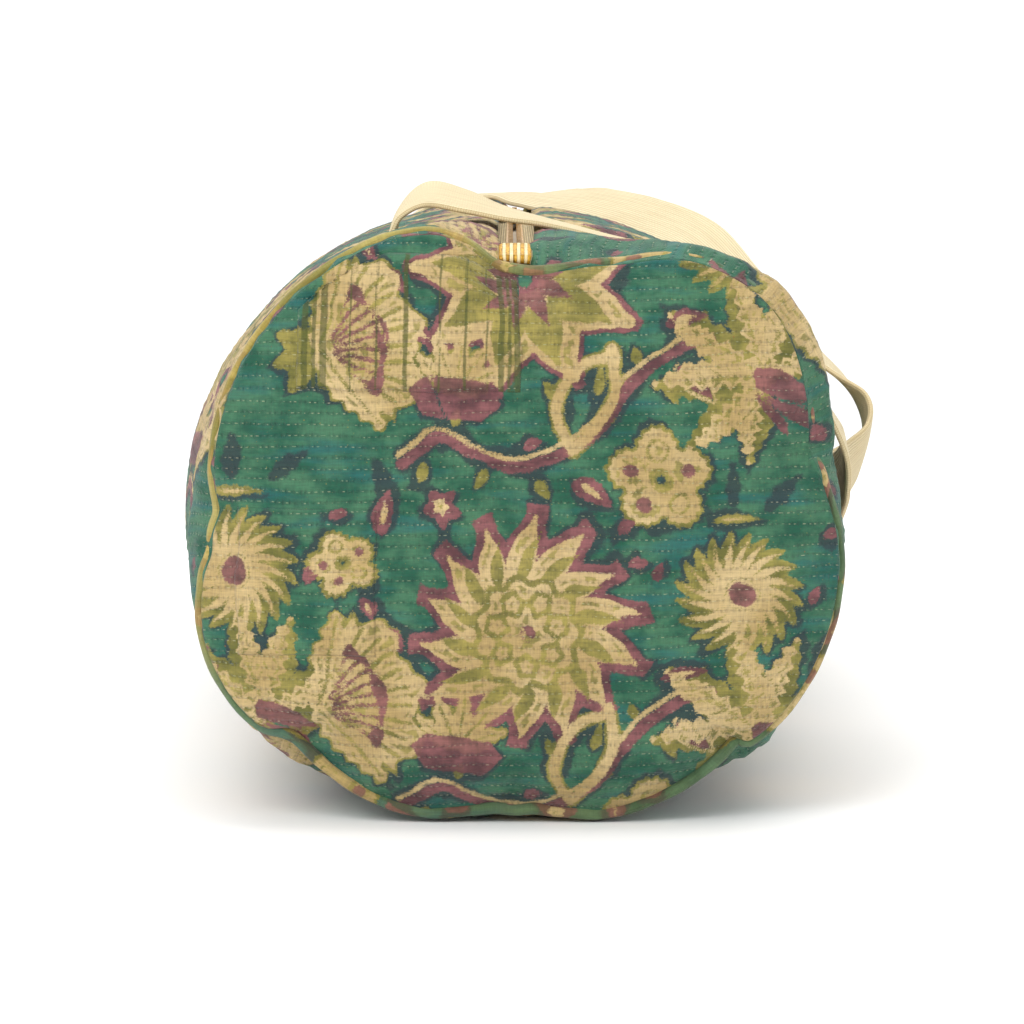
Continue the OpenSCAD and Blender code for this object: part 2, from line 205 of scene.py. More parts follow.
def curve_through(points, steps):
    """A smooth curve through given points, with this many steps from point to point."""
    pts = np.array(points, float)
    ends = np.vstack([2 * pts[0] - pts[1], pts, 2 * pts[-1] - pts[-2]])
    shares = np.linspace(0, 1, steps + 1)[:-1]
    path = [cubic(a, b, c, d, t) for a, b, c, d in zip(ends, ends[1:], ends[2:], ends[3:]) for t in shares]
    return np.array(path + [pts[-1]])


def between(field, fu, fv, wrap_u=False):
    """Values of a regular grid at fractional places, on a smooth cubic through its points."""
    def line(values, place, wrap):
        n = values.shape[0]
        base = np.floor(place).astype(int)
        t = (place - base)[:, None]
        if values.ndim > 2:
            t = t[..., None]
        pick = (lambda k: values[k % n]) if wrap else (lambda k: values[np.clip(k, 0, n - 1)])
        return cubic(pick(base - 1), pick(base), pick(base + 1), pick(base + 2), t)
    rows = line(field, fu, wrap_u)
    return np.moveaxis(line(np.moveaxis(rows, 1, 0), fv, False), 0, 1)


def panel_point(share, degrees, side):
    """Where an end panel's cloth lies, crowned outwards and slumped towards the ground."""
    rim = roll_point(degrees, np.full_like(degrees, side * HALF_LEN))
    centre = np.array([0, side * HALF_LEN, AXIS_Z])
    flat = centre + (rim - centre) * share[..., None]
    low = smooth(40 * MM, -90 * MM, flat[..., 2] - AXIS_Z)
    dome = CROWN * (1 - share ** 2.4) + 5 * MM * low * (1 - share ** 6)
    flat[..., 1] += side * (0.6 * MM + dome)
    return flat


# ---------------------------------------------------------------- the cover's settled shape
def cover_proxy():
    """The whole cover as one closed cloth, with its low-resolution rest places for each piece."""
    degrees, along = np.meshgrid(np.arange(RING) * 360 / RING, np.linspace(-HALF_LEN, HALF_LEN, ALONG + 1),
                                 indexing="ij")
    tube = roll_point(degrees, along)
    share, angle = disc_angles(DISC)
    discs = {side: panel_point(share, angle, side) for side in (-1, 1)}
    for side in (-1, 1):
        edge = share > 0.999
        discs[side][edge] = roll_point(angle[edge], np.full(edge.sum(), side * HALF_LEN))
    return tube, discs


SETTLE_FRAMES = 18
SETTLE_LIMIT = 9 * MM
ON_THE_GROUND = 1.5 * MM       # cloth lower than this is held by the ground


def settle(tube, discs):
    """Lets the cover swell and wrinkle under the pressure of its filling, and returns how far it moved."""
    work = bmesh.new()
    pieces = [np.concatenate([tube, tube[:1]], 0), discs[-1], discs[1]]
    for points in pieces:
        nu, nv = points.shape[:2]
        made = bmesh.ops.create_grid(work, x_segments=nu - 1, y_segments=nv - 1, size=1)
        for v in made["verts"]:
            i = round((v.co.x + 1) / 2 * (nu - 1))
            j = round((v.co.y + 1) / 2 * (nv - 1))
            v.co = points[i, j]
    bmesh.ops.remove_doubles(work, verts=work.verts, dist=0.01 * MM)
    bmesh.ops.recalc_face_normals(work, faces=work.faces)
    mesh = bpy.data.meshes.new("settling")
    work.to_mesh(mesh)
    work.free()
    body = bpy.data.objects.new("settling", mesh)
    bpy.context.scene.collection.objects.link(body)
    rest = np.array([v.co for v in mesh.vertices])
    held = body.vertex_groups.new(name="held")
    for i, co in enumerate(rest):
        if co[2] < ON_THE_GROUND:
            held.add([i], 0.6, "REPLACE")
    cloth = body.modifiers.new("cloth", "CLOTH")
    cloth.settings.quality = 6
    cloth.settings.mass = 0.25
    cloth.settings.tension_stiffness = 12
    cloth.settings.compression_stiffness = 12
    cloth.settings.shear_stiffness = 4
    cloth.settings.bending_stiffness = 0.35
    cloth.settings.use_pressure = True
    cloth.settings.uniform_pressure_force = 3.2
    cloth.settings.shrink_min = -0.035
    cloth.settings.vertex_group_mass = "held"
    cloth.settings.effector_weights.gravity = 0
    cloth.collision_settings.use_collision = False
    scene = bpy.context.scene
    for number in range(1, SETTLE_FRAMES + 1):
        scene.frame_set(number)
    settled = body.evaluated_get(bpy.context.evaluated_depsgraph_get())
    after = np.array([v.co for v in settled.data.vertices])
    scene.frame_set(1)
    bpy.data.objects.remove(body)
    moved = after - rest
    far = np.linalg.norm(moved, axis=1, keepdims=True)
    moved *= np.tanh(far / SETTLE_LIMIT) * SETTLE_LIMIT / np.maximum(far, 1e-9)
    tree = kdtree.KDTree(len(rest))
    for i, co in enumerate(rest):
        tree.insert(co, i)
    tree.balance()
    out = []
    for points in (tube, discs[-1], discs[1]):
        picked = [tree.find(Vector(p))[1] for p in points.reshape(-1, 3)]
        out.append(moved[picked].reshape(points.shape))
    return out


tube_rest, disc_rest = cover_proxy()
tube_moved, front_moved, rear_moved = settle(tube_rest, disc_rest)
disc_moved = {-1: front_moved, 1: rear_moved}


# ---------------------------------------------------------------- the block print
# The two top inks are printed over the cream.
INKS = ("navy", "plum", "olive", "cream", "olive_top", "plum_top")
TILE = (211.0, 150.0)          # the print's repeat, in millimetres of cloth


class Print:
    """The print's inks as distances in millimetres on the cloth: below 0 is inked."""

    def __init__(self, x, y, tiled):
        self.x, self.y, self.tiled = x, y, tiled
        self.fields = {ink: np.full_like(x, 9.0) for ink in INKS}

    def local(self, cx, cy, turn=0.0):
        """Places about a motif's own middle, turned so that its own x axis points along turn, in degrees."""
        dx, dy = self.x - cx, self.y - cy
        if self.tiled:
            dx = (dx + TILE[0] / 2) % TILE[0] - TILE[0] / 2
            dy = (dy + TILE[1] / 2) % TILE[1] - TILE[1] / 2
        c, s = math.cos(math.radians(turn)), math.sin(math.radians(turn))
        return dx * c + dy * s, dy * c - dx * s

    def ink(self, name, distance):
        self.fields[name] = np.minimum(self.fields[name], distance)

    def cut(self, name, distance):
        """Takes an area out of an ink."""
        self.fields[name] = np.maximum(self.fields[name], -distance)


def petals(x, y, inner, outer, count, width, twist=0.0, phase=0.0, tip=0.75, start=0.35):
    """A ring of pointed petals."""
    rho = np.hypot(x, y)
    t = np.clip((rho - inner) / (outer - inner), 0, 1)
    turn = np.arctan2(y, x) + twist * t + phase
    k = turn * count / (2 * math.pi)
    across = np.abs(k - np.round(k)) * 2 * math.pi / count * rho
    belly = np.sin(math.pi * np.minimum(t * 1.15, 1) ** 0.8)
    half = width * (start + (1 - start) * belly) * (1 - t ** 4) ** tip
    return np.maximum.reduce([across - half, rho - outer, inner - rho])


def leaf(x, y, length, width, bend=0.0, jag=0.0, teeth=7):
    """A leaf along x from its own middle, with a saw edge when jag is over 0."""
    t = np.clip(x / length, 0, 1)
    half = width * np.sin(math.pi * t ** 0.75) ** 0.8
    half = half - jag * np.abs((t * teeth) % 1 - 0.5) * 2 * (t > 0.12)
    side = y - bend * 4 * t * (1 - t)
    return np.maximum.reduce([np.abs(side) - half, -x, x - length])


def spot(x, y, radius):
    """A round spot."""
    return np.hypot(x, y) - radius


def stroke(x, y, points, width, taper=0.0):
    """A brush line through given points."""
    path = curve_through(points, 4)
    best = np.full_like(x, 1e3)
    for k, (p, q) in enumerate(zip(path, path[1:])):
        run = q - p
        t = np.clip(((x - p[0]) * run[0] + (y - p[1]) * run[1]) / (run @ run), 0, 1)
        thick = width * (1 - taper * (k + t) / (len(path) - 1))
        best = np.minimum(best, np.hypot(x - p[0] - t * run[0], y - p[1] - t * run[1]) - thick)
    return best


def sunflower(p, cx, cy, size=51.0):
    """A big flower head: bent petals in a thick plum edge, round a disc of little rosettes."""
    x, y = p.local(cx, cy)
    rho = np.hypot(x, y)
    angle = np.arctan2(y, x)
    reach = size * (0.93 + 0.04 * np.cos(3 * angle + 1) + 0.03 * np.cos(5 * angle))
    outer = petals(x, y, size * 0.40, reach, 14, size * 0.135, twist=0.22, phase=0.1, tip=0.6)
    p.ink("plum", outer - 4.4)
    p.ink("cream", outer)
    p.ink("olive_top", petals(x, y, size * 0.44, reach * 0.86, 14, size * 0.062, twist=0.22, phase=0.17))
    p.cut("plum", spot(x, y, size * 0.44))
    p.ink("navy", np.maximum(spot(x, y, size * 0.50), size * 0.42 - rho))
    p.ink("cream", spot(x, y, size * 0.50 + 1.6 * np.cos(14 * angle)))
    p.ink("olive_top", np.abs(rho - size * 0.445 - 1.6 * np.cos(11 * angle)) - 1.5)
    for k in range(7):
        turn = 360 * k / 7 + 12
        rx, ry = p.local(cx, cy, turn)
        rosette = np.hypot(rx - size * 0.27, ry) + 0.5 * np.cos(5 * np.arctan2(ry, rx - size * 0.27))
        p.ink("olive_top", np.abs(rosette - size * 0.082) - 1.25)
    p.ink("plum_top", spot(x, y, size * 0.075))


def daisy(p, cx, cy, size=25.0, count=20, twist=0.5):
    """A small flower of thin, bent petals round a plum eye."""
    x, y = p.local(cx, cy)
    ring = petals(x, y, size * 0.2, size, count, size * 0.07, twist=twist, tip=0.4, start=0.5)
    p.ink("olive", petals(x, y, size * 0.2, size * 1.12, count, size * 0.19, twist=twist, tip=0.5, start=0.7))
    p.ink("cream", ring)
    p.ink("cream", spot(x, y, size * 0.34))
    p.ink("plum_top", spot(x, y, size * 0.235))
    p.ink("olive_top", np.abs(spot(x, y, size * 0.29)) - 0.25)


def fan(p, cx, cy, turn, size=38.0):
    """A carnation: a fan of frilled petals over a plum heart."""
    x, y = p.local(cx, cy, turn)
    rho = np.hypot(x, y)
    angle = np.arctan2(y, x)
    sector = (np.abs(angle) - 0.92) * rho
    rim = size * (0.93 + 0.06 * np.cos(11 * angle) + 0.025 * np.cos(27 * angle))
    shape = np.maximum(sector, rho - rim)
    p.ink("cream", shape)
    p.ink("olive", shape - 1.4)
    rays = np.abs((angle * 5.2 + 0.5) % 1 - 0.5) * rho / 5.2
    veins = [rays - 1.3 + 0.5 * rho / size, rho - size * 0.86, size * 0.5 - rho, sector + 1]
    p.ink("olive_top", np.maximum.reduce(veins))
    heart = np.maximum(sector + 2, np.abs(rho - size * 0.60) - size * 0.045 - 1.2 * np.cos(8 * angle))
    p.ink("plum_top", heart)
    p.ink("plum_top", np.maximum.reduce([rays - 0.7, rho - size * 0.6, size * 0.16 - rho, sector + 3]))
    for side in (-1, 1):
        lx, ly = p.local(cx, cy, turn + side * 62)
        wing = leaf(lx, ly, size * 0.95, size * 0.2, bend=-side * 3, jag=2.4, teeth=6)
        p.ink("cream", wing)
        p.ink("olive", wing - 1.3)
        p.ink("olive_top", np.maximum(np.abs(ly + side * 1.5) - 0.7, wing + 1.5))
    for side in (-1, 0, 1):
        lx, ly = p.local(cx, cy, turn + 180 + side * 42)
        calyx = leaf(lx, ly, size * 0.42, size * 0.13, jag=1.0, teeth=4)
        p.ink("olive", calyx)
        p.ink("navy", calyx - 1.2)


# Each leaf's angle from the bud, and its length and width as shares of the lotus's size.
LOTUS_LEAVES = [
    (68, 0.9, 0.14), (110, 1.0, 0.15), (148, 1.1, 0.16), (188, 1.15, 0.16), (226, 1.1, 0.16),
    (264, 1.0, 0.15), (304, 0.8, 0.14),
]


def lotus(p, cx, cy, turn, size=35.0):
    """Jagged leaves around a plum bud."""
    for k, (angle, length, width) in enumerate(LOTUS_LEAVES):
        x, y = p.local(cx, cy, turn + angle)
        bend = 2.5 if k % 2 else -2.5
        shape = leaf(x - size * 0.08, y, size * length, size * width, bend=bend, jag=3.2, teeth=7)
        p.ink("cream", shape)
        p.ink("olive", leaf(x, y, size * (length + 0.06), size * (width + 0.05), jag=2.0, teeth=7))
        p.ink("olive_top", np.maximum(np.abs(y) - 0.75, shape + 1.6))
        for m in range(1, 6):
            vx, vy = x - size * (0.1 + 0.16 * m), np.abs(y)
            p.ink("olive_top", np.maximum.reduce([np.abs(vy - 0.9 * vx) - 0.5, shape + 1.3, -vx]))
    for angle, length in ((-22, 0.72), (0, 0.86), (22, 0.72)):
        x, y = p.local(cx, cy, turn + angle)
        bud = leaf(x + size * 0.1, y, size * length, size * 0.12)
        p.ink("plum_top", bud)
        p.cut("plum_top", np.maximum(np.abs(np.abs(y) - size * 0.125) - 0.55, x - size * 0.66))


def little_lotus(p, cx, cy, turn, size=18.0):
    """Five spikes standing in a plum cup."""
    x, y = p.local(cx, cy, turn)
    for angle in (-58, -30, 0, 30, 58):
        lx, ly = p.local(cx, cy, turn + angle)
        spike = leaf(lx, ly, size * (1.25 - abs(angle) * 0.004), size * 0.2, jag=1.2, teeth=5)
        p.ink("cream", spike)
        p.ink("olive", spike - 1.3)
        p.ink("olive_top", np.maximum(np.abs(ly) - 0.5, spike + 1.4))
    cup = np.maximum(np.abs(y) - (size * 0.86 - 0.9 * np.abs(x + 2)), np.abs(x + 3) - size * 0.34)
    p.ink("plum_top", cup)
    p.ink("navy", cup - 1.8)


def round_petals(p, cx, cy, turn, size=17.0):
    """Five round petals, each with a spot or a ring in it."""
    for k in range(5):
        angle = turn + 72 * k
        x, y = p.local(cx, cy, angle)
        lobe = np.hypot((x - size * 0.58) * 0.92, y) - size * 0.40
        lobe = lobe + 0.6 * np.cos(14 * np.arctan2(y, x - size * 0.58))
        p.ink("cream", lobe)
        p.ink("olive", lobe - 1.5)
        if k in (0, 2, 3):
            p.ink("plum_top", spot(x - size * 0.62, y, size * 0.15))
        else:
            p.ink("olive_top", np.abs(np.hypot(x - size * 0.58, y) - size * 0.2) - 0.6)
    x, y = p.local(cx, cy)
    p.ink("olive_top", np.abs(spot(x, y, size * 0.2)) - 0.8)


def bud(p, cx, cy, turn, length, width, ink="plum", edge=True):
    """A loose bud with a pale edge and a dark shadow."""
    x, y = p.local(cx, cy, turn)
    shape = leaf(x + length / 2, y, length, width, bend=width * 0.25, jag=0.7, teeth=5)
    p.ink(ink, shape)
    if edge:
        p.ink("cream", leaf(x + length * 0.32, y - width * 0.2, length * 0.55, width * 0.28))
    p.ink("navy", leaf(x + length / 2 - 1.4, y + 1.5, length, width))


def star(p, cx, cy, size=8.0):
    """A tiny five-pointed flower."""
    x, y = p.local(cx, cy)
    p.ink("plum", petals(x, y, 0.0, size, 5, size * 0.42, phase=0.3, tip=0.6, start=0.8))
    p.ink("cream", spot(x, y, size * 0.36 + 0.8 * np.cos(5 * np.arctan2(y, x))))
    p.ink("olive_top", spot(x, y, size * 0.14))
    p.ink("navy", petals(x - 1.5, y + 1.5, 0.0, size * 1.1, 5, size * 0.45, phase=0.3, tip=0.6, start=0.8))


VINE_STEM = [
    (-74, -24), (-58, -14), (-42, -21), (-24, -27), (-6, -22), (8, -12), (20, 4), (30, 14), (44, 23),
    (56, 26),
]
VINE_LOOPS = [
    [(-2, -21), (-9, -8), (-6, 6), (4, 16), (12, 18)],
    [(-2, -21), (8, -10), (15, 2), (16, 14), (14, 22)],
]
# Each small leaf's place on the vine, its turn, its length and its width.
VINE_LEAVES = [
    (-9, 1, 120, 9, 2.6), (-1, 15, 100, 8, 2.6), (8, 3, 75, 13, 2.2), (16, 8, 20, 8, 2.6),
    (9, -8, 10, 7, 2.3), (-36, -28, 230, 9, 2.4), (-52, -10, 70, 8, 2.4), (-16, -32, 300, 10, 2.4),
    (36, 10, 300, 13, 3.0), (50, 30, 60, 9, 2.6), (-64, -24, 250, 9, 2.5), (26, 16, 110, 8, 2.4),
]


def vine(p, cx, cy):
    """A trailing stem with one pair of looped leaves and small leaves along it."""
    x, y = p.local(cx, cy)
    p.ink("plum", stroke(x, y, VINE_STEM, 2.5))
    p.ink("cream", stroke(x + 1.6, y - 3.4, VINE_STEM, 1.0))
    p.ink("navy", stroke(x - 1.5, y + 2.0, VINE_STEM[:7], 1.6))
    for points in VINE_LOOPS:
        p.ink("cream", stroke(x, y, points, 2.2))
        p.ink("olive", stroke(x, y, points, 3.3))
    for lx, ly, turn, length, width in VINE_LEAVES:
        tx, ty = p.local(cx + lx, cy + ly, turn)
        p.ink("navy", leaf(tx + 1, ty + 1.2, length, width))
        p.ink("olive", leaf(tx, ty, length, width))
    tx, ty = p.local(cx + 42, cy + 14, -38)
    p.ink("plum", leaf(tx, ty, 20, 3.6))
    p.ink("cream", np.abs(leaf(tx, ty, 20, 3.6) - 0.9) - 0.6)


# Loose buds: place, turn, length and width.
PLUM_BUDS = [
    (72, -60, 10, 20, 3.6), (-40, -68, -35, 16, 4.0), (-62, -32, -60, 12, 3.2), (-51, -46, -50, 13, 3.6),
]
# Bare buds and dark leaves: place and turn, and a dark leaf's length.
BARE_BUDS = [(52, -12, 5), (60, -16, 80), (46, 3, 30), (-74, 9, 10), (8, 38, 20), (-84, -16, 60)]
DARK_LEAVES = [
    (-57, 24, 100, 24), (-30, 46, 85, 22), (44, -40, 70, 22), (-62, -20, 80, 20), (20, 52, 60, 18),
    (66, 6, 20, 26), (-96, 30, 40, 22), (92, 24, 95, 20),
]
# Where an end panel's cloth repeats the motifs, and which repeats show the big flower.
PANEL_REPEATS = ((0, 0), (0, 150), (0, -150), (-211, 10), (211, -10))
FLOWER_REPEATS = ((0, 0), (0, -150))


def one_repeat(p, ox, oy):
    """The motifs of one repeat, but for the big flower."""
    daisy(p, 94 + ox, -25 + oy)
    fan(p, -84 + ox, -74 + oy, 14, 47)
    lotus(p, 104 + ox, -84 + oy, -42, 42)
    little_lotus(p, -25 + ox, -90 + oy, 82, 23)
    round_petals(p, 60 + ox, -126 + oy, 20, 21)
    vine(p, 26 + ox, -94 + oy)
    bud(p, 32 + ox, 17 + oy, -38, 20, 5)
    bud(p, -55 + ox, 11 + oy, 80, 22, 4.5)
    bud(p, 94 + ox, 8 + oy, 4, 24, 2.6, ink="olive")
    for sx, sy, turn, length, width in PLUM_BUDS:
        bud(p, sx + ox, sy + oy, turn, length, width)
    star(p, -30 + ox, 13 + oy, 9)
    for sx, sy, turn in BARE_BUDS:
        bud(p, sx + ox, sy + oy, turn, 9, 2.9, edge=False)
    for sx, sy, turn, length in DARK_LEAVES:
        tx, ty = p.local(sx + ox, sy + oy, turn)
        p.ink("navy", leaf(tx + length / 2, ty, length, 4.6, jag=1.2, teeth=4))


def end_panel_motifs(p):
    """The flower under the zip's end, and a small one at the left, on the end panels only."""
    top = p.local(4, 108)
    crown = petals(*top, 6, 49, 9, 13.5, phase=0.4, tip=0.4)
    p.ink("plum", crown - 2.6)
    p.ink("cream", crown)
    p.ink("olive_top", petals(*top, 12, 40, 9, 7.5, phase=0.47, tip=0.5))
    p.ink("plum_top", petals(*top, 5, 22, 9, 3.6, phase=0.36))
    round_petals(p, -72, -12, 40, 13)


def print_layers(x, y, tiled):
    """All inks on cloth at x, y, in millimetres."""
    bend_x = x + 1.6 * waves(x, y, 11, 90) + 0.5 * waves(x, y, 12, 16)
    bend_y = y + 1.6 * waves(x, y, 13, 90) + 0.5 * waves(x, y, 14, 16)
    p = Print(bend_x, bend_y, tiled)
    for repeat in ((0, 0),) if tiled else PANEL_REPEATS:
        if tiled or repeat in FLOWER_REPEATS:
            sunflower(p, 5 + repeat[0], -40 + repeat[1])
        one_repeat(p, *repeat)
    if not tiled:
        end_panel_motifs(p)
    for ink in INKS:
        p.fields[ink] = p.fields[ink] + 0.25 * waves(x, y, 20 + INKS.index(ink), 7, 2)
    drawn = np.minimum.reduce([p.fields[ink] for ink in ("plum", "olive", "cream")])
    p.fields["navy"] = np.minimum(p.fields["navy"] + 1.2 * waves(x, y, 31, 24),
                                  drawn - 1.2 - 3.4 * waves(x + 9, y, 32, 46))
    return {"ink_" + ink: np.clip(field, -6, 6) for ink, field in p.fields.items()}


# ---------------------------------------------------------------- the strap's route
# Places along the strap's middle, and the way across it there, in millimetres.
STRAP_ROUTE = [
    ((-50, -236, 259), (0, 1, 0.12)), ((-38, -236, 267), (0, 1, 0.24)), ((-22, -236, 264), (0, 1, 0.22)),
    ((-6, -235, 259), (0, 1, 0.12)), ((12, -233, 255), (0, 1, 0.04)), ((34, -231, 249.5), (0.05, 1, 0)),
    ((65, -229, 239.5), (0.05, 1, 0)), ((99, -226, 219), (0, 1, 0)), ((128, -220, 187), (0, 1, 0.05)),
    ((145, -209, 160), (0, 1, 0.2)), ((149, -196, 143), (0, 1, 0.5)), ((147, -178, 131), (0, 0.8, 0.9)),
    ((146, -155, 128), (0, 0.2, 1)), ((153, -134, 134), (0.2, -0.3, 1)), ((164, -119, 146), (0.1, -0.8, 0.8)),
    ((165, -106, 162), (0, -0.95, 0.3)), ((153, -93, 178), (-0.1, -1, 0)), ((137, -78, 193), (-0.25, -1, 0)),
    ((123, -59, 208.5), (-0.3, -1, -0.1)), ((107.5, -36, 224), (-0.3, -0.9, -0.2)),
    ((88, 2, 241.5), (-0.27, -0.9, -0.3)), ((63, 48, 251.5), (-0.2, -0.9, -0.28)),
    ((38, 98, 257), (-0.05, -1, -0.18)), ((20, 142, 258), (0, -1, -0.08)), ((7, 182, 258), (0.1, -1, 0)),
    ((-8, 214, 257.5), (0.1, -1, 0)), ((-27, 231, 256), (0, -1, 0)), ((-45, 236, 252), (0, -1, 0)),
]
STRAP_WIDTH = 38.0
STRAP_THICK = 2.4
STRAP_END_Y = 236              # where both ends are sewn down
HINGE_X = -55.0                # where the strap leaves its sewn ends
HINGE_Z = 246.5
TAIL_PLACES = (-86, -76, -67, -60)


def surface_height(x, y):
    """Height in millimetres of the top of the roll at x, y in millimetres."""
    degrees = np.linspace(-80, 80, 161)
    line = roll_point(degrees, np.full_like(degrees, y * MM))
    return float(np.interp(x * MM, line[:, 0], line[:, 2])) / MM


def strap_path():
    """The whole strap, sewn end to sewn end: its middle line in millimetres, and the ways across and up."""
    def tail(y, xs):
        return [((x, y, surface_height(x, y) + 1.9), (0, -math.copysign(1, y), 0)) for x in xs]
    lift = [((HINGE_X, -STRAP_END_Y, HINGE_Z), (0, 1, 0))]
    drop = [((HINGE_X, STRAP_END_Y, HINGE_Z), (0, -1, 0))]
    route = tail(-STRAP_END_Y, TAIL_PLACES) + lift + STRAP_ROUTE + drop + tail(STRAP_END_Y, TAIL_PLACES[::-1])
    path = curve_through([np.concatenate(place) for place in route], 10)
    middle, side = path[:, :3], path[:, 3:]
    run = np.gradient(middle, axis=0)
    run /= np.linalg.norm(run, axis=1, keepdims=True)
    across = side - (side * run).sum(1, keepdims=True) * run
    across /= np.linalg.norm(across, axis=1, keepdims=True)
    return middle, across, np.cross(run, across)


def press_under_strap(points, below=1.0 * MM):
    """Cloth under the strap gives way, so that it lies below the webbing, with a soft slope beside it."""
    middle, across, up = strap_path()
    tree = kdtree.KDTree(len(middle))
    for number, place in enumerate(middle):
        tree.insert(place, number)
    tree.balance()
    flat = points.reshape(-1, 3) / MM
    near = np.array([tree.find(place)[1] for place in flat])
    offset = flat - middle[near]
    beside = np.maximum(np.abs((offset * across[near]).sum(1)) - STRAP_WIDTH / 2, 0)
    height = (offset * up[near]).sum(1)
    limit = 0.45 * beside - STRAP_THICK / 2 - below / MM
    push = np.where((beside < 18) & (height < 24), np.maximum(height - limit, 0), 0) * smooth(18, 9, beside)
    return ((flat - up[near] * push[:, None]) * MM).reshape(points.shape)


# ---------------------------------------------------------------- fine shape of the cloth
ROW_PITCH = 4.7                # millimetres between the rows of running stitches
STITCH_PITCH = 2.8             # millimetres from stitch to stitch


def stitch_rows(x, y):
    """Which row of running stitches lies at a place on the cloth, as a count; rows run across."""
    return (y + 1.5 * waves(x, y, 41, 130) + 0.35 * waves(x, y, 42, 18, 2)) / ROW_PITCH


def normals(points):
    """Which way the cloth faces at each place of a grid."""
    du, dv = np.gradient(points, axis=0), np.gradient(points, axis=1)
    n = np.cross(du, dv)
    return n / np.maximum(np.linalg.norm(n, axis=-1, keepdims=True), 1e-12)


def relief(x, y, seed, depth=1.0):
    """Height in metres of the quilted cloth: puckers between rows, short creases and slow waves."""
    rows = stitch_rows(x, y)
    pull = 0.6 + 0.4 * waves(x, y, seed, 30, 2)
    pucker = -0.16 * np.cos(2 * math.pi * rows) * pull
    crease = 0.20 * waves(x, y * 2.4, seed + 1, 11, 2) + 0.55 * waves(x, y * 1.3, seed + 2, 46, 2)
    return depth * (pucker + crease) * MM


def ends_gather(degrees, from_seam, seed):
    """Small gathers that run away from a sewn seam, in metres."""
    a = np.radians(degrees)
    lines = np.zeros_like(a)
    dice = np.random.default_rng(seed)
    for count in (23, 31, 44, 57, 73):
        lines += np.cos(count * a + dice.uniform(0, 6.28)) * dice.uniform(0.5, 1.0)
    return lines * 0.55 * MM * np.exp(-from_seam / (20 * MM)) * smooth(0, 5 * MM, from_seam)


SLIT_ANGLE = 3.6               # half the zip's opening in the cloth, in degrees
SLIT_NARROWS = 1.3             # by how much it closes past the zip's ends


def cover_tube():
    """The cover's tube of cloth, open along the zip: its places, flat cloth and inks."""
    nu, nv = 401, 289
    along = np.linspace(-HALF_LEN, HALF_LEN, nv)[None, :] + np.zeros((nu, 1))
    slit = SLIT_ANGLE - SLIT_NARROWS * smooth(270 * MM, 282 * MM, np.abs(along))
    degrees = slit + (360 - 2 * slit) * np.linspace(0, 1, nu)[:, None]
    points = roll_point(degrees, along)
    points += between(tube_moved, degrees[:, nv // 2] * RING / 360, np.linspace(0, ALONG, nv), wrap_u=True)
    out = normals(points)
    run = np.linalg.norm(np.diff(points[:, nv // 2], axis=0), axis=1)
    around = np.concatenate([[0], np.cumsum(run)])
    cloth = np.stack([around[:, None] + 0 * along, along], -1)
    x, y = cloth[..., 1] / MM, cloth[..., 0] / MM
    from_seam = HALF_LEN - np.abs(along)
    lift = relief(x, y, 50) * smooth(0, 10 * MM, from_seam) + ends_gather(degrees, from_seam, 3)
    edge = np.minimum(np.arange(nu), np.arange(nu)[::-1])[:, None] * 2.1 * MM
    lift *= smooth(0, 9 * MM, edge)
    dive = 2.2 * MM * np.exp(-(edge / (3 * MM)) ** 2)
    points = points + out * lift[..., None]
    points[..., 2] -= dive
    points = press_under_strap(points)
    points[..., 2] = np.maximum(points[..., 2], 0.3 * MM)
    inks = print_layers(x, y - 30, True)
    inks["row"] = stitch_rows(x, y)
    return points, np.stack([x, y], -1) * MM, inks


# Dents beside an end seam: angle, share of the radius, depth and reach.
DENTS = [(-142, 0.86, 5.0, 11), (-128, 0.93, 3.5, 9), (76, 0.93, 3.0, 10)]


def rim_reach(degrees, side):
    """How far an end seam lies from the middle line at each angle."""
    rim = roll_point(degrees, np.full_like(degrees, side * HALF_LEN))
    return np.linalg.norm(rim - np.array([0, side * HALF_LEN, AXIS_Z]), axis=-1)


def end_panel(side):
    """An end panel's places, flat cloth and inks."""
    n = 192
    share, degrees = disc_angles(n)
    points = panel_point(share, degrees, side)
    steps = np.linspace(0, DISC, n + 1)
    points += between(disc_moved[side], steps, steps)
    x, y = points[..., 0] / MM * side * -1, (points[..., 2] - AXIS_Z) / MM
    from_seam = (1 - share) * rim_reach(degrees, side)
    lift = relief(x, y, 60 + side) * smooth(0, 8 * MM, from_seam) + ends_gather(degrees, from_seam, 5 + side)
    for angle, place, deep, wide in DENTS:
        away = np.hypot((degrees - angle) * 2.2, (share - place) * 130)
        lift -= deep * MM * np.exp(-(away / wide) ** 2)
    points[..., 1] += side * lift
    inks = print_layers(x, y, False)
    inks["row"] = stitch_rows(x, y)
    return points, np.stack([x, y], -1) * MM, inks


def disc_place(x, z, side):
    """The end panel's grid place, from -1 to 1 each way, under a point of the end view."""
    px, pz = x, z - AXIS_Z
    share = np.hypot(px, pz) / rim_reach(np.degrees(np.arctan2(px, pz)), side)
    phi = np.arctan2(pz, px)
    quarter = math.pi / 4
    right = np.abs(phi) <= quarter
    top = (phi > quarter) & (phi <= 3 * quarter)
    left = np.abs(phi) > 3 * quarter
    wrapped = np.where(phi > 0, phi - math.pi, phi + math.pi)
    quarters = [right, top, left]
    below = share * (phi + math.pi / 2) / quarter
    a = np.select(quarters, [share, share * (math.pi / 2 - phi) / quarter, -share], below)
    b = np.select(quarters, [share * phi / quarter, share, -share * wrapped / quarter], -share)
    return a, b


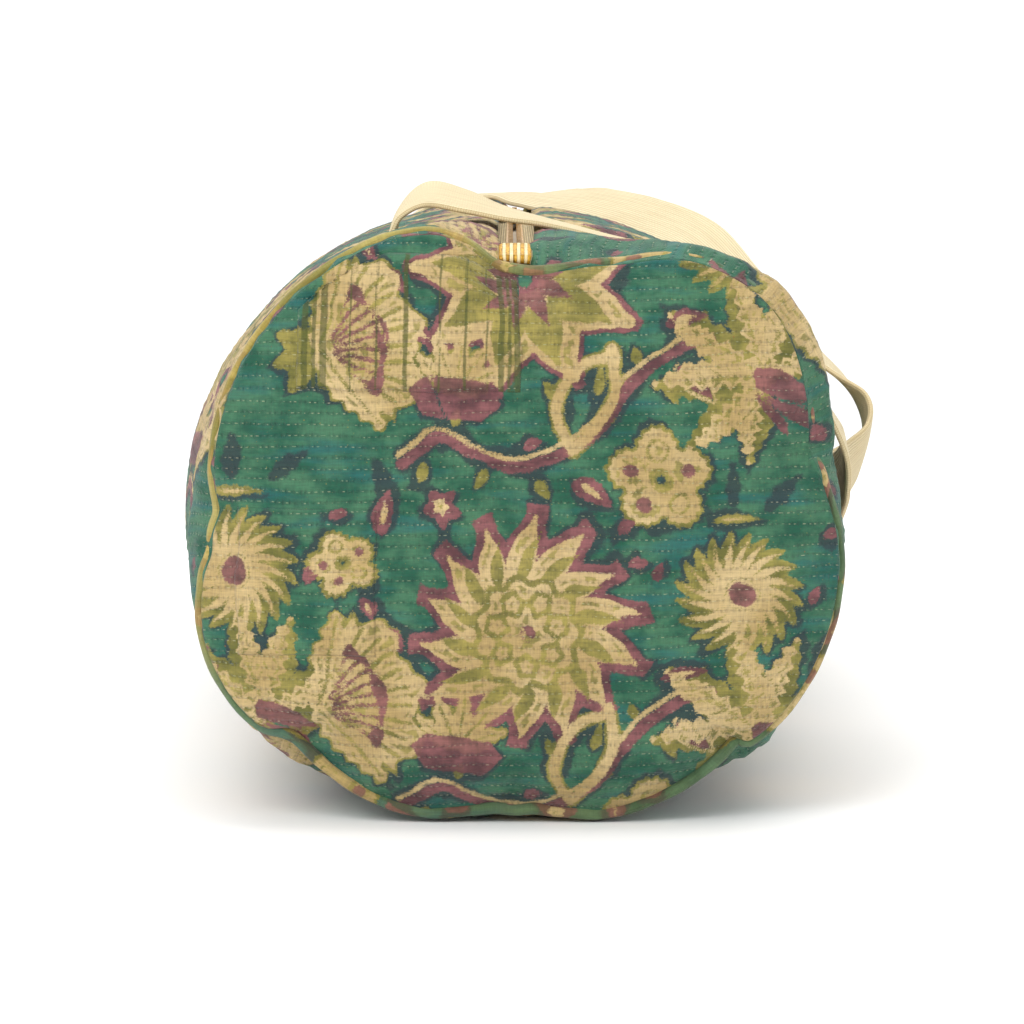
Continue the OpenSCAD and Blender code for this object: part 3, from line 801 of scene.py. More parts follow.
def on_panel(points, x, z, side):
    """Places on a finished end panel under x, z, by bilinear sampling."""
    n = points.shape[0] - 1
    a, b = disc_place(x, z, side)
    fa, fb = np.clip((a + 1) / 2 * n, 0, n - 1e-6), np.clip((b + 1) / 2 * n, 0, n - 1e-6)
    ia, ib = fa.astype(int), fb.astype(int)
    ta, tb = (fa - ia)[..., None], (fb - ib)[..., None]
    return ((points[ia, ib] * (1 - ta) + points[ia + 1, ib] * ta) * (1 - tb)
            + (points[ia, ib + 1] * (1 - ta) + points[ia + 1, ib + 1] * ta) * tb)


PATCH_STEP = 1.2               # millimetres between a patch's grid lines
PATCH_REACH = 0.965            # share of the panel's radius that a patch stays inside


def patch(points, x0, x1, z0, z1, stripes):
    """A sewn patch on the front panel, a little above it, with turned-in wavy edges."""
    nx = int((x1 - x0) / PATCH_STEP)
    nz = int((z1 - z0) / PATCH_STEP)
    s, t = np.meshgrid(np.linspace(0, 1, nx + 1), np.linspace(0, 1, nz + 1), indexing="ij")
    x = x0 + (x1 - x0) * s
    z = z0 + (z1 - z0) * t
    x = x + 0.8 * waves(z, x, 71, 34, 2) * np.sign(s - 0.5)
    z = z + 0.8 * waves(x, z, 72, 34, 2) * np.sign(t - 0.5) * (t < 0.9)
    px, pz = x * MM, AXIS_Z + z * MM
    degrees = np.degrees(np.arctan2(px, pz - AXIS_Z))
    reach = np.hypot(px, pz - AXIS_Z) / rim_reach(degrees, -1)
    pull = np.minimum(1, PATCH_REACH / np.maximum(reach, 1e-6))
    px, pz = px * pull, AXIS_Z + (pz - AXIS_Z) * pull
    place = on_panel(points, px, pz, -1)
    border = np.minimum.reduce([s * nx, (1 - s) * nx, t * nz, (1 - t) * nz]) * PATCH_STEP
    place[..., 1] -= (0.15 + 0.75 * smooth(0, 1.6, border)) * MM
    x, y = px / MM, (pz - AXIS_Z) / MM
    inks = print_layers(x, y, False)
    inks["row"] = stitch_rows(x, y)
    lines = np.full_like(x, 9.0)
    for centre, half in stripes:
        lines = np.minimum(lines, np.abs(x - centre + 0.5 * waves(y, x, 73, 40, 2)) - half)
    inks["ink_stripe"] = lines
    return place, np.stack([x, y], -1) * MM, inks


SEAM_OUT = 0.6 * MM            # how far the piping stands out from the seam, and past the tube's end
MEAN_RADIUS = 130


def seam_ring(side, radius, sides=14, steps=288):
    """A round cord swept around an end seam."""
    degrees = np.linspace(0, 360, steps + 1)
    base = roll_point(degrees, np.full_like(degrees, side * HALF_LEN))
    seam = np.array([0.0 if side < 0 else ALONG])
    base = base + between(tube_moved, degrees * RING / 360, seam, wrap_u=True)[:, 0]
    run = np.roll(base[:-1], -1, 0) - np.roll(base[:-1], 1, 0)
    run = np.concatenate([run, run[:1]])
    turned = np.stack([-run[:, 2], np.zeros(len(run)), run[:, 0]], -1)
    turned /= np.linalg.norm(turned, axis=1, keepdims=True)
    if turned[0, 2] < 0:
        turned = -turned
    centre = base + turned * SEAM_OUT
    centre[:, 1] = side * (HALF_LEN + SEAM_OUT)
    swell = 1 + 0.05 * np.cos(np.radians(degrees) * 41)[:, None, None]
    phi = np.linspace(0, 2 * math.pi, sides + 1)
    ring = (centre[:, None] + radius * swell * (np.cos(phi)[None, :, None] * turned[:, None]
            + np.sin(phi)[None, :, None] * np.array([0, 1.0, 0])))
    ring[..., 2] = np.maximum(ring[..., 2], 0.1 * MM)
    around = degrees / 360 * 2 * math.pi * MEAN_RADIUS
    x = around[:, None] + 0 * phi
    y = 0 * around[:, None] + phi * radius / MM
    return ring, np.stack([x, y], -1) * MM


def strap_points():
    """The strap's places and flat cloth: a slightly cupped band with round edges, swept along its route."""
    middle, across, up = strap_path()
    length = np.concatenate([[0], np.cumsum(np.linalg.norm(np.diff(middle, axis=0), axis=1))])
    half, thick = STRAP_WIDTH / 2, STRAP_THICK / 2
    flat = np.linspace(-1, 1, 15)
    turn = np.linspace(0, math.pi, 6)[1:-1]
    top = flat * (half - 1)
    edge_out = half - 1 + np.sin(turn)
    across_at = np.concatenate([top, edge_out, -top, -edge_out, top[:1]])
    face, edge_up = 0 * flat + thick, thick * np.cos(turn)
    up_at = np.concatenate([face, edge_up, -face, -edge_up, face[:1]])
    cup = 0.9 * (1 - (across_at / half) ** 2)
    cloth = np.stack(np.meshgrid(across_at, length), -1)
    wobble = 0.35 * waves(cloth[..., 1], cloth[..., 0], 81, 60, 2)
    edge = 0.3 * waves(length, 0 * length, 82, 12, 2)[:, None]
    points = (middle[:, None] + across[:, None] * (across_at * (1 + 0.012 * edge))[..., None]
              + up[:, None] * (up_at + cup - 0.6 + wobble * 0.6)[..., None])
    return points * MM, cloth * MM


def cap_ends(work):
    """Closes the open ends of a swept shape."""
    edges = [e for e in work.edges if len(e.link_faces) == 1]
    bmesh.ops.holes_fill(work, edges=edges, sides=0)


def finish_piece(piece, body, node):
    """A piece rides on its body and stands for its CAD node."""
    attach(piece, body)
    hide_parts(node)


def thicken(piece, metres):
    """Gives a piece a wall, inwards from its outer face."""
    wall = piece.modifiers.new("wall", "SOLIDIFY")
    wall.thickness = metres
    wall.offset = -1.0
    wall.use_quality_normals = True


# ---------------------------------------------------------------- shader building
class Graph:
    """Short ways to add and join shader nodes."""

    def __init__(self, tree):
        self.tree = tree

    def put(self, kind, **settings):
        node = self.tree.nodes.new(kind)
        for key, value in settings.items():
            setattr(node, key, value)
        return node

    def feed(self, socket, value):
        if isinstance(value, bpy.types.NodeSocket):
            self.tree.links.new(value, socket)
        else:
            socket.default_value = value

    def math(self, kind, *values):
        node = self.put("ShaderNodeMath", operation=kind)
        for socket, value in zip(node.inputs, values):
            self.feed(socket, value)
        return node.outputs[0]

    def from_half(self, value):
        """How far a value's fraction lies from a half."""
        return self.math("ABSOLUTE", self.math("SUBTRACT", self.math("FRACT", value), 0.5))

    def mix(self, share, a, b, blend="MIX"):
        node = self.put("ShaderNodeMix", data_type="RGBA", blend_type=blend)
        self.feed(node.inputs[0], share)
        self.feed(node.inputs[6], a)
        self.feed(node.inputs[7], b)
        return node.outputs[2]

    def ramp(self, value, low, high, start=0.0, end=1.0):
        node = self.put("ShaderNodeMapRange", interpolation_type="SMOOTHSTEP")
        for socket, v in zip(node.inputs, (value, low, high, start, end)):
            self.feed(socket, v)
        return node.outputs[0]

    def noise(self, place, scale, detail=2.0, roughness=0.5):
        node = self.put("ShaderNodeTexNoise")
        self.feed(node.inputs["Vector"], place)
        self.feed(node.inputs["Scale"], scale)
        self.feed(node.inputs["Detail"], detail)
        self.feed(node.inputs["Roughness"], roughness)
        return node.outputs["Fac"]

    def stretch(self, place, sx, sy, sz=1.0):
        node = self.put("ShaderNodeVectorMath", operation="MULTIPLY")
        self.feed(node.inputs[0], place)
        self.feed(node.inputs[1], (sx, sy, sz))
        return node.outputs[0]

    def field(self, name):
        return self.put("ShaderNodeAttribute", attribute_name=name).outputs["Fac"]

    def cloth(self):
        """The piece's cloth map, in millimetres."""
        return self.stretch(self.put("ShaderNodeUVMap", uv_map="cloth").outputs[0], 1000, 1000, 1000)

    def split(self, place):
        node = self.put("ShaderNodeSeparateXYZ")
        self.feed(node.inputs[0], place)
        return node.outputs[0], node.outputs[1]


def effect(name, inputs, outputs):
    """A new shader node group with named sockets, and its input and output nodes."""
    tree = bpy.data.node_groups.new(name, "ShaderNodeTree")
    for label, kind, value in inputs:
        made = tree.interface.new_socket(label, in_out="INPUT", socket_type=kind)
        if value is not None:
            made.default_value = value
    for label, kind in outputs:
        tree.interface.new_socket(label, in_out="OUTPUT", socket_type=kind)
    g = Graph(tree)
    return g, g.put("NodeGroupInput").outputs, g.put("NodeGroupOutput").inputs


VECTOR, FLOAT = "NodeSocketVector", "NodeSocketFloat"


def shade(r, g, b):
    """A colour given as it looks, 0 to 255, as the linear values a shader takes."""
    linear = [v / 255 / 12.92 if v <= 10 else ((v / 255 + 0.055) / 1.055) ** 2.4 for v in (r, g, b)]
    return (*linear, 1.0)


def weave_effect():
    """Plain weave: crossing threads of an uneven thickness, as a height and a light-and-dark tint."""
    g, got, out = effect("plain weave", [("Cloth", VECTOR, None), ("Thread", FLOAT, 0.55)],
                         [("Height", FLOAT), ("Tint", FLOAT)])
    wobble = g.put("ShaderNodeTexNoise", noise_dimensions="3D")
    g.feed(wobble.inputs["Vector"], got["Cloth"])
    g.feed(wobble.inputs["Scale"], 0.35)
    shifted = g.put("ShaderNodeVectorMath", operation="MULTIPLY_ADD")
    g.feed(shifted.inputs[0], wobble.outputs["Color"])
    g.feed(shifted.inputs[1], (0.8, 0.8, 0.8))
    g.feed(shifted.inputs[2], got["Cloth"])
    x, y = g.split(shifted.outputs[0])
    turn_x = g.math("MULTIPLY", g.math("DIVIDE", x, got["Thread"]), math.pi)
    turn_y = g.math("MULTIPLY", g.math("DIVIDE", y, got["Thread"]), math.pi)
    over = g.math("MULTIPLY", g.math("SINE", turn_x), g.math("SINE", turn_y))
    slub = g.noise(g.stretch(got["Cloth"], 0.12, 1.5), 1.0, 2)
    slub_across = g.noise(g.stretch(got["Cloth"], 1.5, 0.12), 1.0, 2)
    uneven = g.math("ADD", slub, slub_across)
    g.feed(out["Height"], g.math("ADD", g.math("MULTIPLY", over, 0.35), uneven))
    g.feed(out["Tint"], g.math("MULTIPLY", g.math("SUBTRACT", uneven, 1.0), 1.6))
    return g.tree


def stitches_effect():
    """Hand running stitches: pale dashes along each row, sunk a little, with a shadow beside each."""
    g, got, out = effect("running stitches", [("Cloth", VECTOR, None), ("Row", FLOAT, 0.0)],
                         [("Thread", FLOAT), ("Height", FLOAT)])
    x, _ = g.split(got["Cloth"])
    row = g.math("ADD", got["Row"], 0.5)
    from_row = g.math("MULTIPLY", g.from_half(row), ROW_PITCH)
    number = g.math("FLOOR", row)
    lag = g.math("FRACT", g.math("MULTIPLY", number, 0.377))
    uneven = g.noise(got["Cloth"], 0.16, 1)
    step = g.math("ADD", g.math("DIVIDE", x, STITCH_PITCH), lag)
    step = g.math("ADD", step, g.math("MULTIPLY", uneven, 1.6))
    along = g.math("MULTIPLY", g.from_half(step), STITCH_PITCH)
    over = g.math("MAXIMUM", g.math("MULTIPLY", from_row, 2.4), along)
    dropped = g.ramp(g.noise(g.stretch(got["Cloth"], 0.3, 0.9), 1.0, 1), 0.42, 0.56)
    g.feed(out["Thread"], g.math("MULTIPLY", g.ramp(over, 0.62, 0.36), dropped))
    groove = g.ramp(from_row, 1.3, 0.0)
    bead = g.ramp(over, 1.0, 0.2)
    hole = g.ramp(along, 0.75, 1.3)
    sunk = g.math("MULTIPLY", groove, g.math("ADD", 0.6, hole))
    g.feed(out["Height"], g.math("SUBTRACT", g.math("MULTIPLY", bead, 0.8), sunk))
    return g.tree


def wear_effect():
    """Soft fading, grime and broken ink, each from 0 to 1."""
    g, got, out = effect("washed and worn", [("Cloth", VECTOR, None)],
                         [("Fade", FLOAT), ("Broken", FLOAT), ("Blotch", FLOAT)])
    g.feed(out["Fade"], g.ramp(g.noise(got["Cloth"], 0.03, 3), 0.35, 0.7))
    fine = g.noise(g.stretch(got["Cloth"], 0.9, 1.25), 1.0, 3, 0.7)
    g.feed(out["Broken"], fine)
    g.feed(out["Blotch"], g.noise(g.stretch(got["Cloth"], 0.055, 0.075), 1.0, 4, 0.6))
    return g.tree


WEAVE = weave_effect()
STITCHES = stitches_effect()
WEAR = wear_effect()


def material(name, roughness, metallic=0.0):
    """A new material: its node helper and its Principled shader."""
    made = bpy.data.materials.new(name)
    made.use_nodes = True
    made.node_tree.nodes.clear()
    g = Graph(made.node_tree)
    shader = g.put("ShaderNodeBsdfPrincipled")
    shader.inputs["Roughness"].default_value = roughness
    shader.inputs["Metallic"].default_value = metallic
    end = g.put("ShaderNodeOutputMaterial")
    made.node_tree.links.new(shader.outputs[0], end.inputs[0])
    return made, g, shader


def place_effect(g, tree, **values):
    """Puts a shared effect into a material and returns its outputs."""
    node = g.put("ShaderNodeGroup", node_tree=tree)
    for key, value in values.items():
        g.feed(node.inputs[key], value)
    return node.outputs


def bumps(g, shader, height, metres):
    """Raises the surface by a height, this many metres deep."""
    bump = g.put("ShaderNodeBump")
    bump.inputs["Strength"].default_value = 1.0
    bump.inputs["Distance"].default_value = metres
    g.feed(bump.inputs["Height"], height)
    g.feed(shader.inputs["Normal"], bump.outputs[0])


def dyed_ground(g, cloth, wear):
    """The teal ground, blotched and streaked by washing."""
    teal = g.mix(g.ramp(wear["Blotch"], 0.36, 0.64), shade(12, 78, 57), shade(62, 110, 80))
    streak = g.ramp(g.noise(g.stretch(cloth, 0.02, 0.1), 1.0, 3), 0.48, 0.7, 0.0, 0.7)
    return g.mix(streak, teal, shade(20, 92, 92))


def striped_over(g, colour, rough_edge):
    """The striped patch's dark green lines."""
    distance = g.math("ADD", g.field("ink_stripe"), g.math("MULTIPLY", rough_edge, 0.3))
    return g.mix(g.math("MULTIPLY", g.ramp(distance, 0.35, -0.25), 0.72), colour, shade(66, 74, 20))


def lit_top_left_yellow_over(g, colour, wear):
    """Painted light on the piping: a yellow tint, strongest and lightest at the top left where the key light
    falls, weakest at the bottom right.
    """
    yellow = g.mix(wear["Fade"], shade(150, 132, 50), shade(196, 172, 92))
    place = g.put("ShaderNodeSeparateXYZ")
    g.feed(place.inputs[0], g.put("ShaderNodeTexCoord").outputs["Object"])
    up, right = g.math("MULTIPLY", place.outputs[2], 5.0), g.math("MULTIPLY", place.outputs[0], 6.0)
    return g.mix(g.ramp(g.math("SUBTRACT", up, right), 0.9, 1.5, 0.16, 0.74), colour, yellow)


def printed_material(name, stripes=False, narrow=False):
    """Block-printed cotton, quilted by hand, or its narrow bias strip, which has no stitches."""
    made, g, shader = material(name, 0.86)
    cloth = g.cloth()
    weave = place_effect(g, WEAVE, Cloth=cloth, Thread=0.48)
    wear = place_effect(g, WEAR, Cloth=cloth)
    stitch = place_effect(g, STITCHES, Cloth=cloth, Row=g.field("row"))
    rough_edge = g.math("MULTIPLY", g.math("SUBTRACT", wear["Broken"], 0.5), 3.4)

    def inked(ink, edge=0.45, shift=0.0):
        distance = g.math("ADD", g.math("ADD", g.field("ink_" + ink), rough_edge), shift)
        return g.ramp(distance, edge, -edge)

    ground = dyed_ground(g, cloth, wear)
    colour = g.mix(g.math("MULTIPLY", inked("navy", 0.9), 0.82), ground, shade(34, 46, 52))
    speck = g.ramp(g.noise(g.stretch(cloth, 0.75, 0.75), 1.0, 1), 0.72, 0.76)
    colour = g.mix(g.math("MULTIPLY", speck, 0.6), colour, shade(120, 118, 58))
    olive = g.mix(g.ramp(wear["Blotch"], 0.35, 0.65), shade(100, 98, 34), shade(150, 138, 64))
    colour = g.mix(g.math("MULTIPLY", inked("olive"), 0.9), colour, olive)
    plum = g.mix(g.ramp(wear["Blotch"], 0.35, 0.65), shade(84, 46, 50), shade(136, 82, 84))
    colour = g.mix(g.math("MULTIPLY", inked("plum"), 0.93), colour, plum)
    cream = g.mix(wear["Fade"], shade(170, 144, 92), shade(198, 174, 126))
    colour = g.mix(g.math("MULTIPLY", inked("cream"), 0.96), colour, cream)
    brushed = g.ramp(g.noise(g.stretch(cloth, 0.17, 0.17), 1.0, 2, 0.6), 0.47, 0.55)
    away = g.ramp(g.field("ink_olive_top"), 1.2, 2.2)
    inner = g.math("MULTIPLY", inked("cream", 0.4, 2.4), g.math("MULTIPLY", brushed, away))
    colour = g.mix(g.math("MULTIPLY", inner, 0.75), colour, olive)
    colour = g.mix(g.math("MULTIPLY", inked("olive_top"), 0.9), colour, olive)
    colour = g.mix(g.math("MULTIPLY", inked("plum_top"), 0.92), colour, plum)
    drip = g.ramp(g.noise(g.stretch(cloth, 0.55, 0.32), 1.0, 2), 0.76, 0.8)
    colour = g.mix(g.math("MULTIPLY", drip, 0.7), colour, shade(150, 84, 40))
    if stripes:
        colour = striped_over(g, colour, rough_edge)
    if narrow:
        # Painted light: the piping is tinted lighter and yellower towards the top left.
        colour = lit_top_left_yellow_over(g, colour, wear)
    dark = g.math("ADD", 1.0, g.math("MULTIPLY", weave["Tint"], 0.36))
    grey = g.put("ShaderNodeCombineColor")
    for socket in grey.inputs:
        g.feed(socket, dark)
    colour = g.mix(1.0, colour, grey.outputs[0], "MULTIPLY")
    # Painted shade: the cloth is darkened where the stitch height dips, in the sunk grooves along the rows
    # and in the stitch holes.
    colour = g.mix(g.math("MULTIPLY", g.ramp(stitch["Height"], -0.2, -1.3), 0.13), colour, shade(26, 54, 48))
    thread = g.mix(wear["Fade"], shade(176, 192, 150), shade(228, 218, 182))
    if not narrow:
        colour = g.mix(g.math("MULTIPLY", stitch["Thread"], 0.30), colour, thread)
    g.feed(shader.inputs["Base Color"], colour)
    g.feed(shader.inputs["Roughness"], g.ramp(weave["Tint"], -0.6, 0.6, 0.78, 0.93))
    shader.inputs["Sheen Weight"].default_value = 0.12
    shader.inputs["Sheen Roughness"].default_value = 0.5
    crumple = g.noise(g.stretch(cloth, 0.14, 0.42), 1.0, 4, 0.6)
    height = g.math("ADD", g.math("MULTIPLY", weave["Height"], 0.12), g.math("MULTIPLY", crumple, 1.25))
    if not narrow:
        height = g.math("ADD", height, g.math("MULTIPLY", stitch["Height"], 0.36))
    bumps(g, shader, height, 1.1 * MM)
    return made


THREAD_PITCH = 3.4             # millimetres between the machine stitches in the strap's ends


def webbing_material(name, light, dark, rib=1.7, thread=False):
    """Twill webbing: ribs along its length with slanting picks across them."""
    made, g, shader = material(name, 0.8)
    cloth = g.cloth()
    x, y = g.split(cloth)
    rib_turn = g.math("DIVIDE", x, rib)
    rib_height = g.math("ABSOLUTE", g.math("SINE", g.math("MULTIPLY", rib_turn, math.pi)))
    slant = g.math("MULTIPLY", g.math("PINGPONG", rib_turn, 1.0), 1.2)
    pick = g.math("SINE", g.math("MULTIPLY", g.math("ADD", g.math("DIVIDE", y, 1.05), slant), 2 * math.pi))
    fuzz = g.noise(g.stretch(cloth, 2.2, 1.1), 1.0, 3, 0.7)
    band = g.noise(g.stretch(cloth, 0.5, 0.02), 1.0, 2)
    soiled = g.noise(g.stretch(cloth, 0.03, 0.02), 1.0, 3)
    height = g.math("ADD", rib_height, g.math("MULTIPLY", pick, 0.22))
    height = g.math("ADD", height, g.math("MULTIPLY", fuzz, 0.55))
    # Painted shade: the webbing is coloured by its height, darker in the hollows between the ribs and picks
    # and lighter on their tops; the fuzz in that height adds random tone.
    colour = g.mix(g.ramp(height, 0.2, 1.3), dark, light)
    colour = g.mix(g.ramp(band, 0.4, 0.7, 0.0, 0.35), colour, dark)
    colour = g.mix(g.ramp(soiled, 0.5, 0.8, 0.0, 0.25), colour, shade(214, 190, 140))
    if thread:
        seam = g.field("thread")
        dash = g.ramp(g.from_half(g.math("DIVIDE", g.math("ADD", x, y), THREAD_PITCH)), 0.43, 0.36)
        sewn = g.math("MULTIPLY", g.ramp(seam, 0.8, 0.35), dash)
        # Painted shade: the webbing darkens along the sunk lines of its machine stitching.
        colour = g.mix(g.ramp(seam, 1.5, 0.4, 0.0, 0.35), colour, shade(190, 160, 110))
        colour = g.mix(sewn, colour, shade(250, 244, 226))
        height = g.math("SUBTRACT", height, g.ramp(seam, 1.8, 0.3))
        height = g.math("ADD", height, g.math("MULTIPLY", sewn, 1.3))
    g.feed(shader.inputs["Base Color"], colour)
    g.feed(shader.inputs["Roughness"], g.ramp(fuzz, 0.3, 0.7, 0.72, 0.9))
    shader.inputs["Sheen Weight"].default_value = 0.15
    shader.inputs["Sheen Roughness"].default_value = 0.5
    bumps(g, shader, height, 0.45 * MM)
    return made


TICKING_PITCH = 14.0           # millimetres from stripe to stripe
TAB_PITCH = 3.1                # the same on the zip's end tabs


def ticking_material(name, light, dark, stripe):
    """Ticking: plain woven cotton with a broad stripe between two fine ones."""
    made, g, shader = material(name, 0.85)
    cloth = g.cloth()
    weave = place_effect(g, WEAVE, Cloth=cloth, Thread=0.7)
    wear = place_effect(g, WEAR, Cloth=cloth)
    colour = g.mix(wear["Blotch"], dark, light)
    x, _ = g.split(cloth)
    turn = g.from_half(g.math("DIVIDE", x, TICKING_PITCH))
    colour = g.mix(g.ramp(turn, 0.09, 0.06), colour, stripe)
    beside = g.math("ABSOLUTE", g.math("SUBTRACT", turn, 0.17))
    colour = g.mix(g.ramp(beside, 0.025, 0.012), colour, stripe)
    colour = g.mix(g.ramp(weave["Tint"], -0.5, 0.5, 0.28, 0.0), colour, dark)
    g.feed(shader.inputs["Base Color"], colour)
    g.feed(shader.inputs["Roughness"], g.ramp(wear["Fade"], 0.0, 1.0, 0.8, 0.92))
    shader.inputs["Sheen Weight"].default_value = 0.1
    bumps(g, shader, weave["Height"], 0.25 * MM)
    return made


def tab_material(name):
    """The zip's sewn end: cream cotton with three raised gold stripes, in line with the teeth."""
    made, g, shader = material(name, 0.55)
    cloth = g.cloth()
    weave = place_effect(g, WEAVE, Cloth=cloth, Thread=0.5)
    x, _ = g.split(cloth)
    stripe = g.ramp(g.from_half(g.math("ADD", g.math("DIVIDE", x, TAB_PITCH), 0.5)), 0.30, 0.22)
    wear = g.noise(cloth, 0.8, 3)
    gold = g.mix(g.ramp(wear, 0.35, 0.7), shade(206, 160, 58), shade(150, 108, 30))
    cream = g.mix(g.ramp(weave["Tint"], -0.5, 0.5), shade(206, 184, 134), shade(240, 226, 186))
    g.feed(shader.inputs["Base Color"], g.mix(stripe, cream, gold))
    g.feed(shader.inputs["Roughness"], g.ramp(stripe, 0.0, 1.0, 0.85, 0.42))
    g.feed(shader.inputs["Metallic"], g.math("MULTIPLY", stripe, 0.6))
    raised = g.math("ADD", g.math("MULTIPLY", stripe, 1.2), g.math("MULTIPLY", weave["Height"], 0.2))
    bumps(g, shader, raised, 0.5 * MM)
    return made


def batting_material(name):
    """Cotton wadding: matted, tufted fibre with flecks."""
    made, g, shader = material(name, 0.95)
    cloth = g.cloth()
    tufts = g.noise(cloth, 0.13, 4, 0.65)
    fibres = g.noise(g.stretch(cloth, 2.0, 0.35), 1.0, 4, 0.75)
    fleck = g.ramp(g.noise(cloth, 0.9, 1), 0.7, 0.74)
    colour = g.mix(g.ramp(tufts, 0.3, 0.7), shade(206, 196, 176), shade(244, 240, 230))
    colour = g.mix(g.math("MULTIPLY", fleck, 0.5), colour, shade(150, 120, 84))
    g.feed(shader.inputs["Base Color"], colour)
    g.feed(shader.inputs["Roughness"], g.ramp(fibres, 0.3, 0.7, 0.88, 1.0))
    shader.inputs["Sheen Weight"].default_value = 0.3
    bumps(g, shader, g.math("ADD", tufts, g.math("MULTIPLY", fibres, 0.3)), 2.2 * MM)
    return made


def brass_material(name, bright=1.0):
    """Brass with brushed scratches, dull tarnish in patches and brighter rubbed spots."""
    made, g, shader = material(name, 0.34, 1.0)
    place = g.stretch(g.put("ShaderNodeTexCoord").outputs["Object"], 1000, 1000, 1000)
    tarnish = g.noise(place, 0.35, 4, 0.6)
    scratch = g.noise(g.stretch(place, 9.0, 0.9, 9.0), 1.0, 3, 0.6)
    colour = g.mix(g.ramp(tarnish, 0.35, 0.7), shade(226 * bright, 178 * bright, 84 * bright),
                   shade(176 * bright, 126 * bright, 52 * bright))
    colour = g.mix(g.ramp(scratch, 0.55, 0.75, 0.0, 0.35), colour, shade(246, 212, 130))
    g.feed(shader.inputs["Base Color"], colour)
    g.feed(shader.inputs["Roughness"], g.ramp(tarnish, 0.3, 0.75, 0.24, 0.5))
    bumps(g, shader, scratch, 0.04 * MM)
    return made


PRINTED = printed_material("block-printed quilted cotton")
PATCH_STRIPED = printed_material("striped patch cotton", stripes=True)
PIPING = printed_material("piping bias cotton", narrow=True)
WEBBING = webbing_material("cream cotton webbing", shade(236, 221, 180), shade(202, 180, 134), thread=True)
TAPE = webbing_material("zip tape cotton", shade(228, 208, 160), shade(180, 152, 98), rib=1.1)
CORD = webbing_material("piping filler cord", shade(238, 230, 208), shade(196, 184, 156), rib=2.2)
TICKING = ticking_material("ticking cotton", shade(238, 230, 212), shade(214, 202, 178), shade(74, 88, 112))
TAB = tab_material("zip end tab cloth")
BATTING = batting_material("cotton batting")
BRASS = brass_material("zip brass")
BRASS_WORN = brass_material("rubbed zip brass", 1.08)


def dress(piece, made):
    """Gives a piece its one material."""
    piece.data.materials.clear()
    piece.data.materials.append(made)
    return piece


# ---------------------------------------------------------------- the cover
def make_cover():
    """The quilted tube and both end panels; returns the front panel's places."""
    points, cloth, inks = cover_tube()
    tube = dress(grid_piece("quilted_cover", points, cloth, inks), PRINTED)
    thicken(tube, COVER_THICKNESS)
    finish_piece(tube, "root", "cover_body")
    panels = {}
    for side, end in ((-1, "front"), (1, "rear")):
        panels[end], cloth, inks = end_panel(side)
        panel = dress(grid_piece(f"{end}_end_cloth", panels[end], cloth, inks, flip=side > 0), PRINTED)
        thicken(panel, COVER_THICKNESS)
        finish_piece(panel, "root", f"{end}_end_panel")
    return panels["front"]


PIPING_RADIUS = 2.7 * MM
FILLER_RADIUS = 1.3 * MM


def make_piping():
    """A bias strip round each end seam, with its filler cord inside."""
    for side, end in ((-1, "front"), (1, "rear")):
        ring, cloth = seam_ring(side, PIPING_RADIUS)
        inks = print_layers(cloth[..., 0] / MM, cloth[..., 1] / MM, True)
        inks["row"] = np.full(ring.shape[:2], 0.25)
        piece = grid_piece(f"{end}_seam_piping", ring, cloth, inks, join_u=True, join_v=True)
        finish_piece(dress(piece, PIPING), "root", f"{end}_piping")
        core, cloth = seam_ring(side, FILLER_RADIUS, sides=8, steps=192)
        piece = grid_piece(f"{end}_piping_filler", core, cloth, join_u=True, join_v=True)
        finish_piece(dress(piece, CORD), "root", f"{end}_piping_cord")


# The striped patch's woven lines: place across it and half width, in millimetres.
STRIPES = [
    (-88, 1.3), (-84, 0.8), (-80, 1.4), (-69, 0.4), (-58, 0.5), (-46, 0.9), (-32, 0.5), (-21, 0.6),
    (-12, 0.4), (-6, 1.1), (-2.6, 0.7), (0.6, 1.2),
]
# Left, right, bottom and top of each patch, in millimetres from the middle line.
STRIPED_BOX = (-91, 2, 60, 117)
PLAIN_BOX = (-117, -58, -50, 11)
THIN_CLOTH = 0.7 * MM


def make_patches(front):
    """The two patches sewn onto the front panel."""
    for kind, box, lines, cotton in (("striped", STRIPED_BOX, STRIPES, PATCH_STRIPED),
                                     ("plain", PLAIN_BOX, [], PRINTED)):
        points, cloth, inks = patch(front, *box, lines)
        piece = dress(grid_piece(f"{kind}_sewn_patch", points, cloth, inks), cotton)
        thicken(piece, THIN_CLOTH)
        finish_piece(piece, "root", f"patch_{kind}")


# ---------------------------------------------------------------- the zip
def strip_piece(name, low, high, lift, nx=20, ny=220):
    """A flat strip of cloth from a CAD strip's box, with a slight wave along it."""
    s, t = np.meshgrid(np.linspace(0, 1, nx + 1), np.linspace(0, 1, ny + 1), indexing="ij")
    x = low.x + (high.x - low.x) * s
    y = low.y + (high.y - low.y) * t
    z = np.full_like(x, high.z - 0.1 * MM) + lift(s, x / MM, y / MM) * MM
    return grid_piece(name, np.stack([x, y, z], -1), np.stack([x, y], -1))


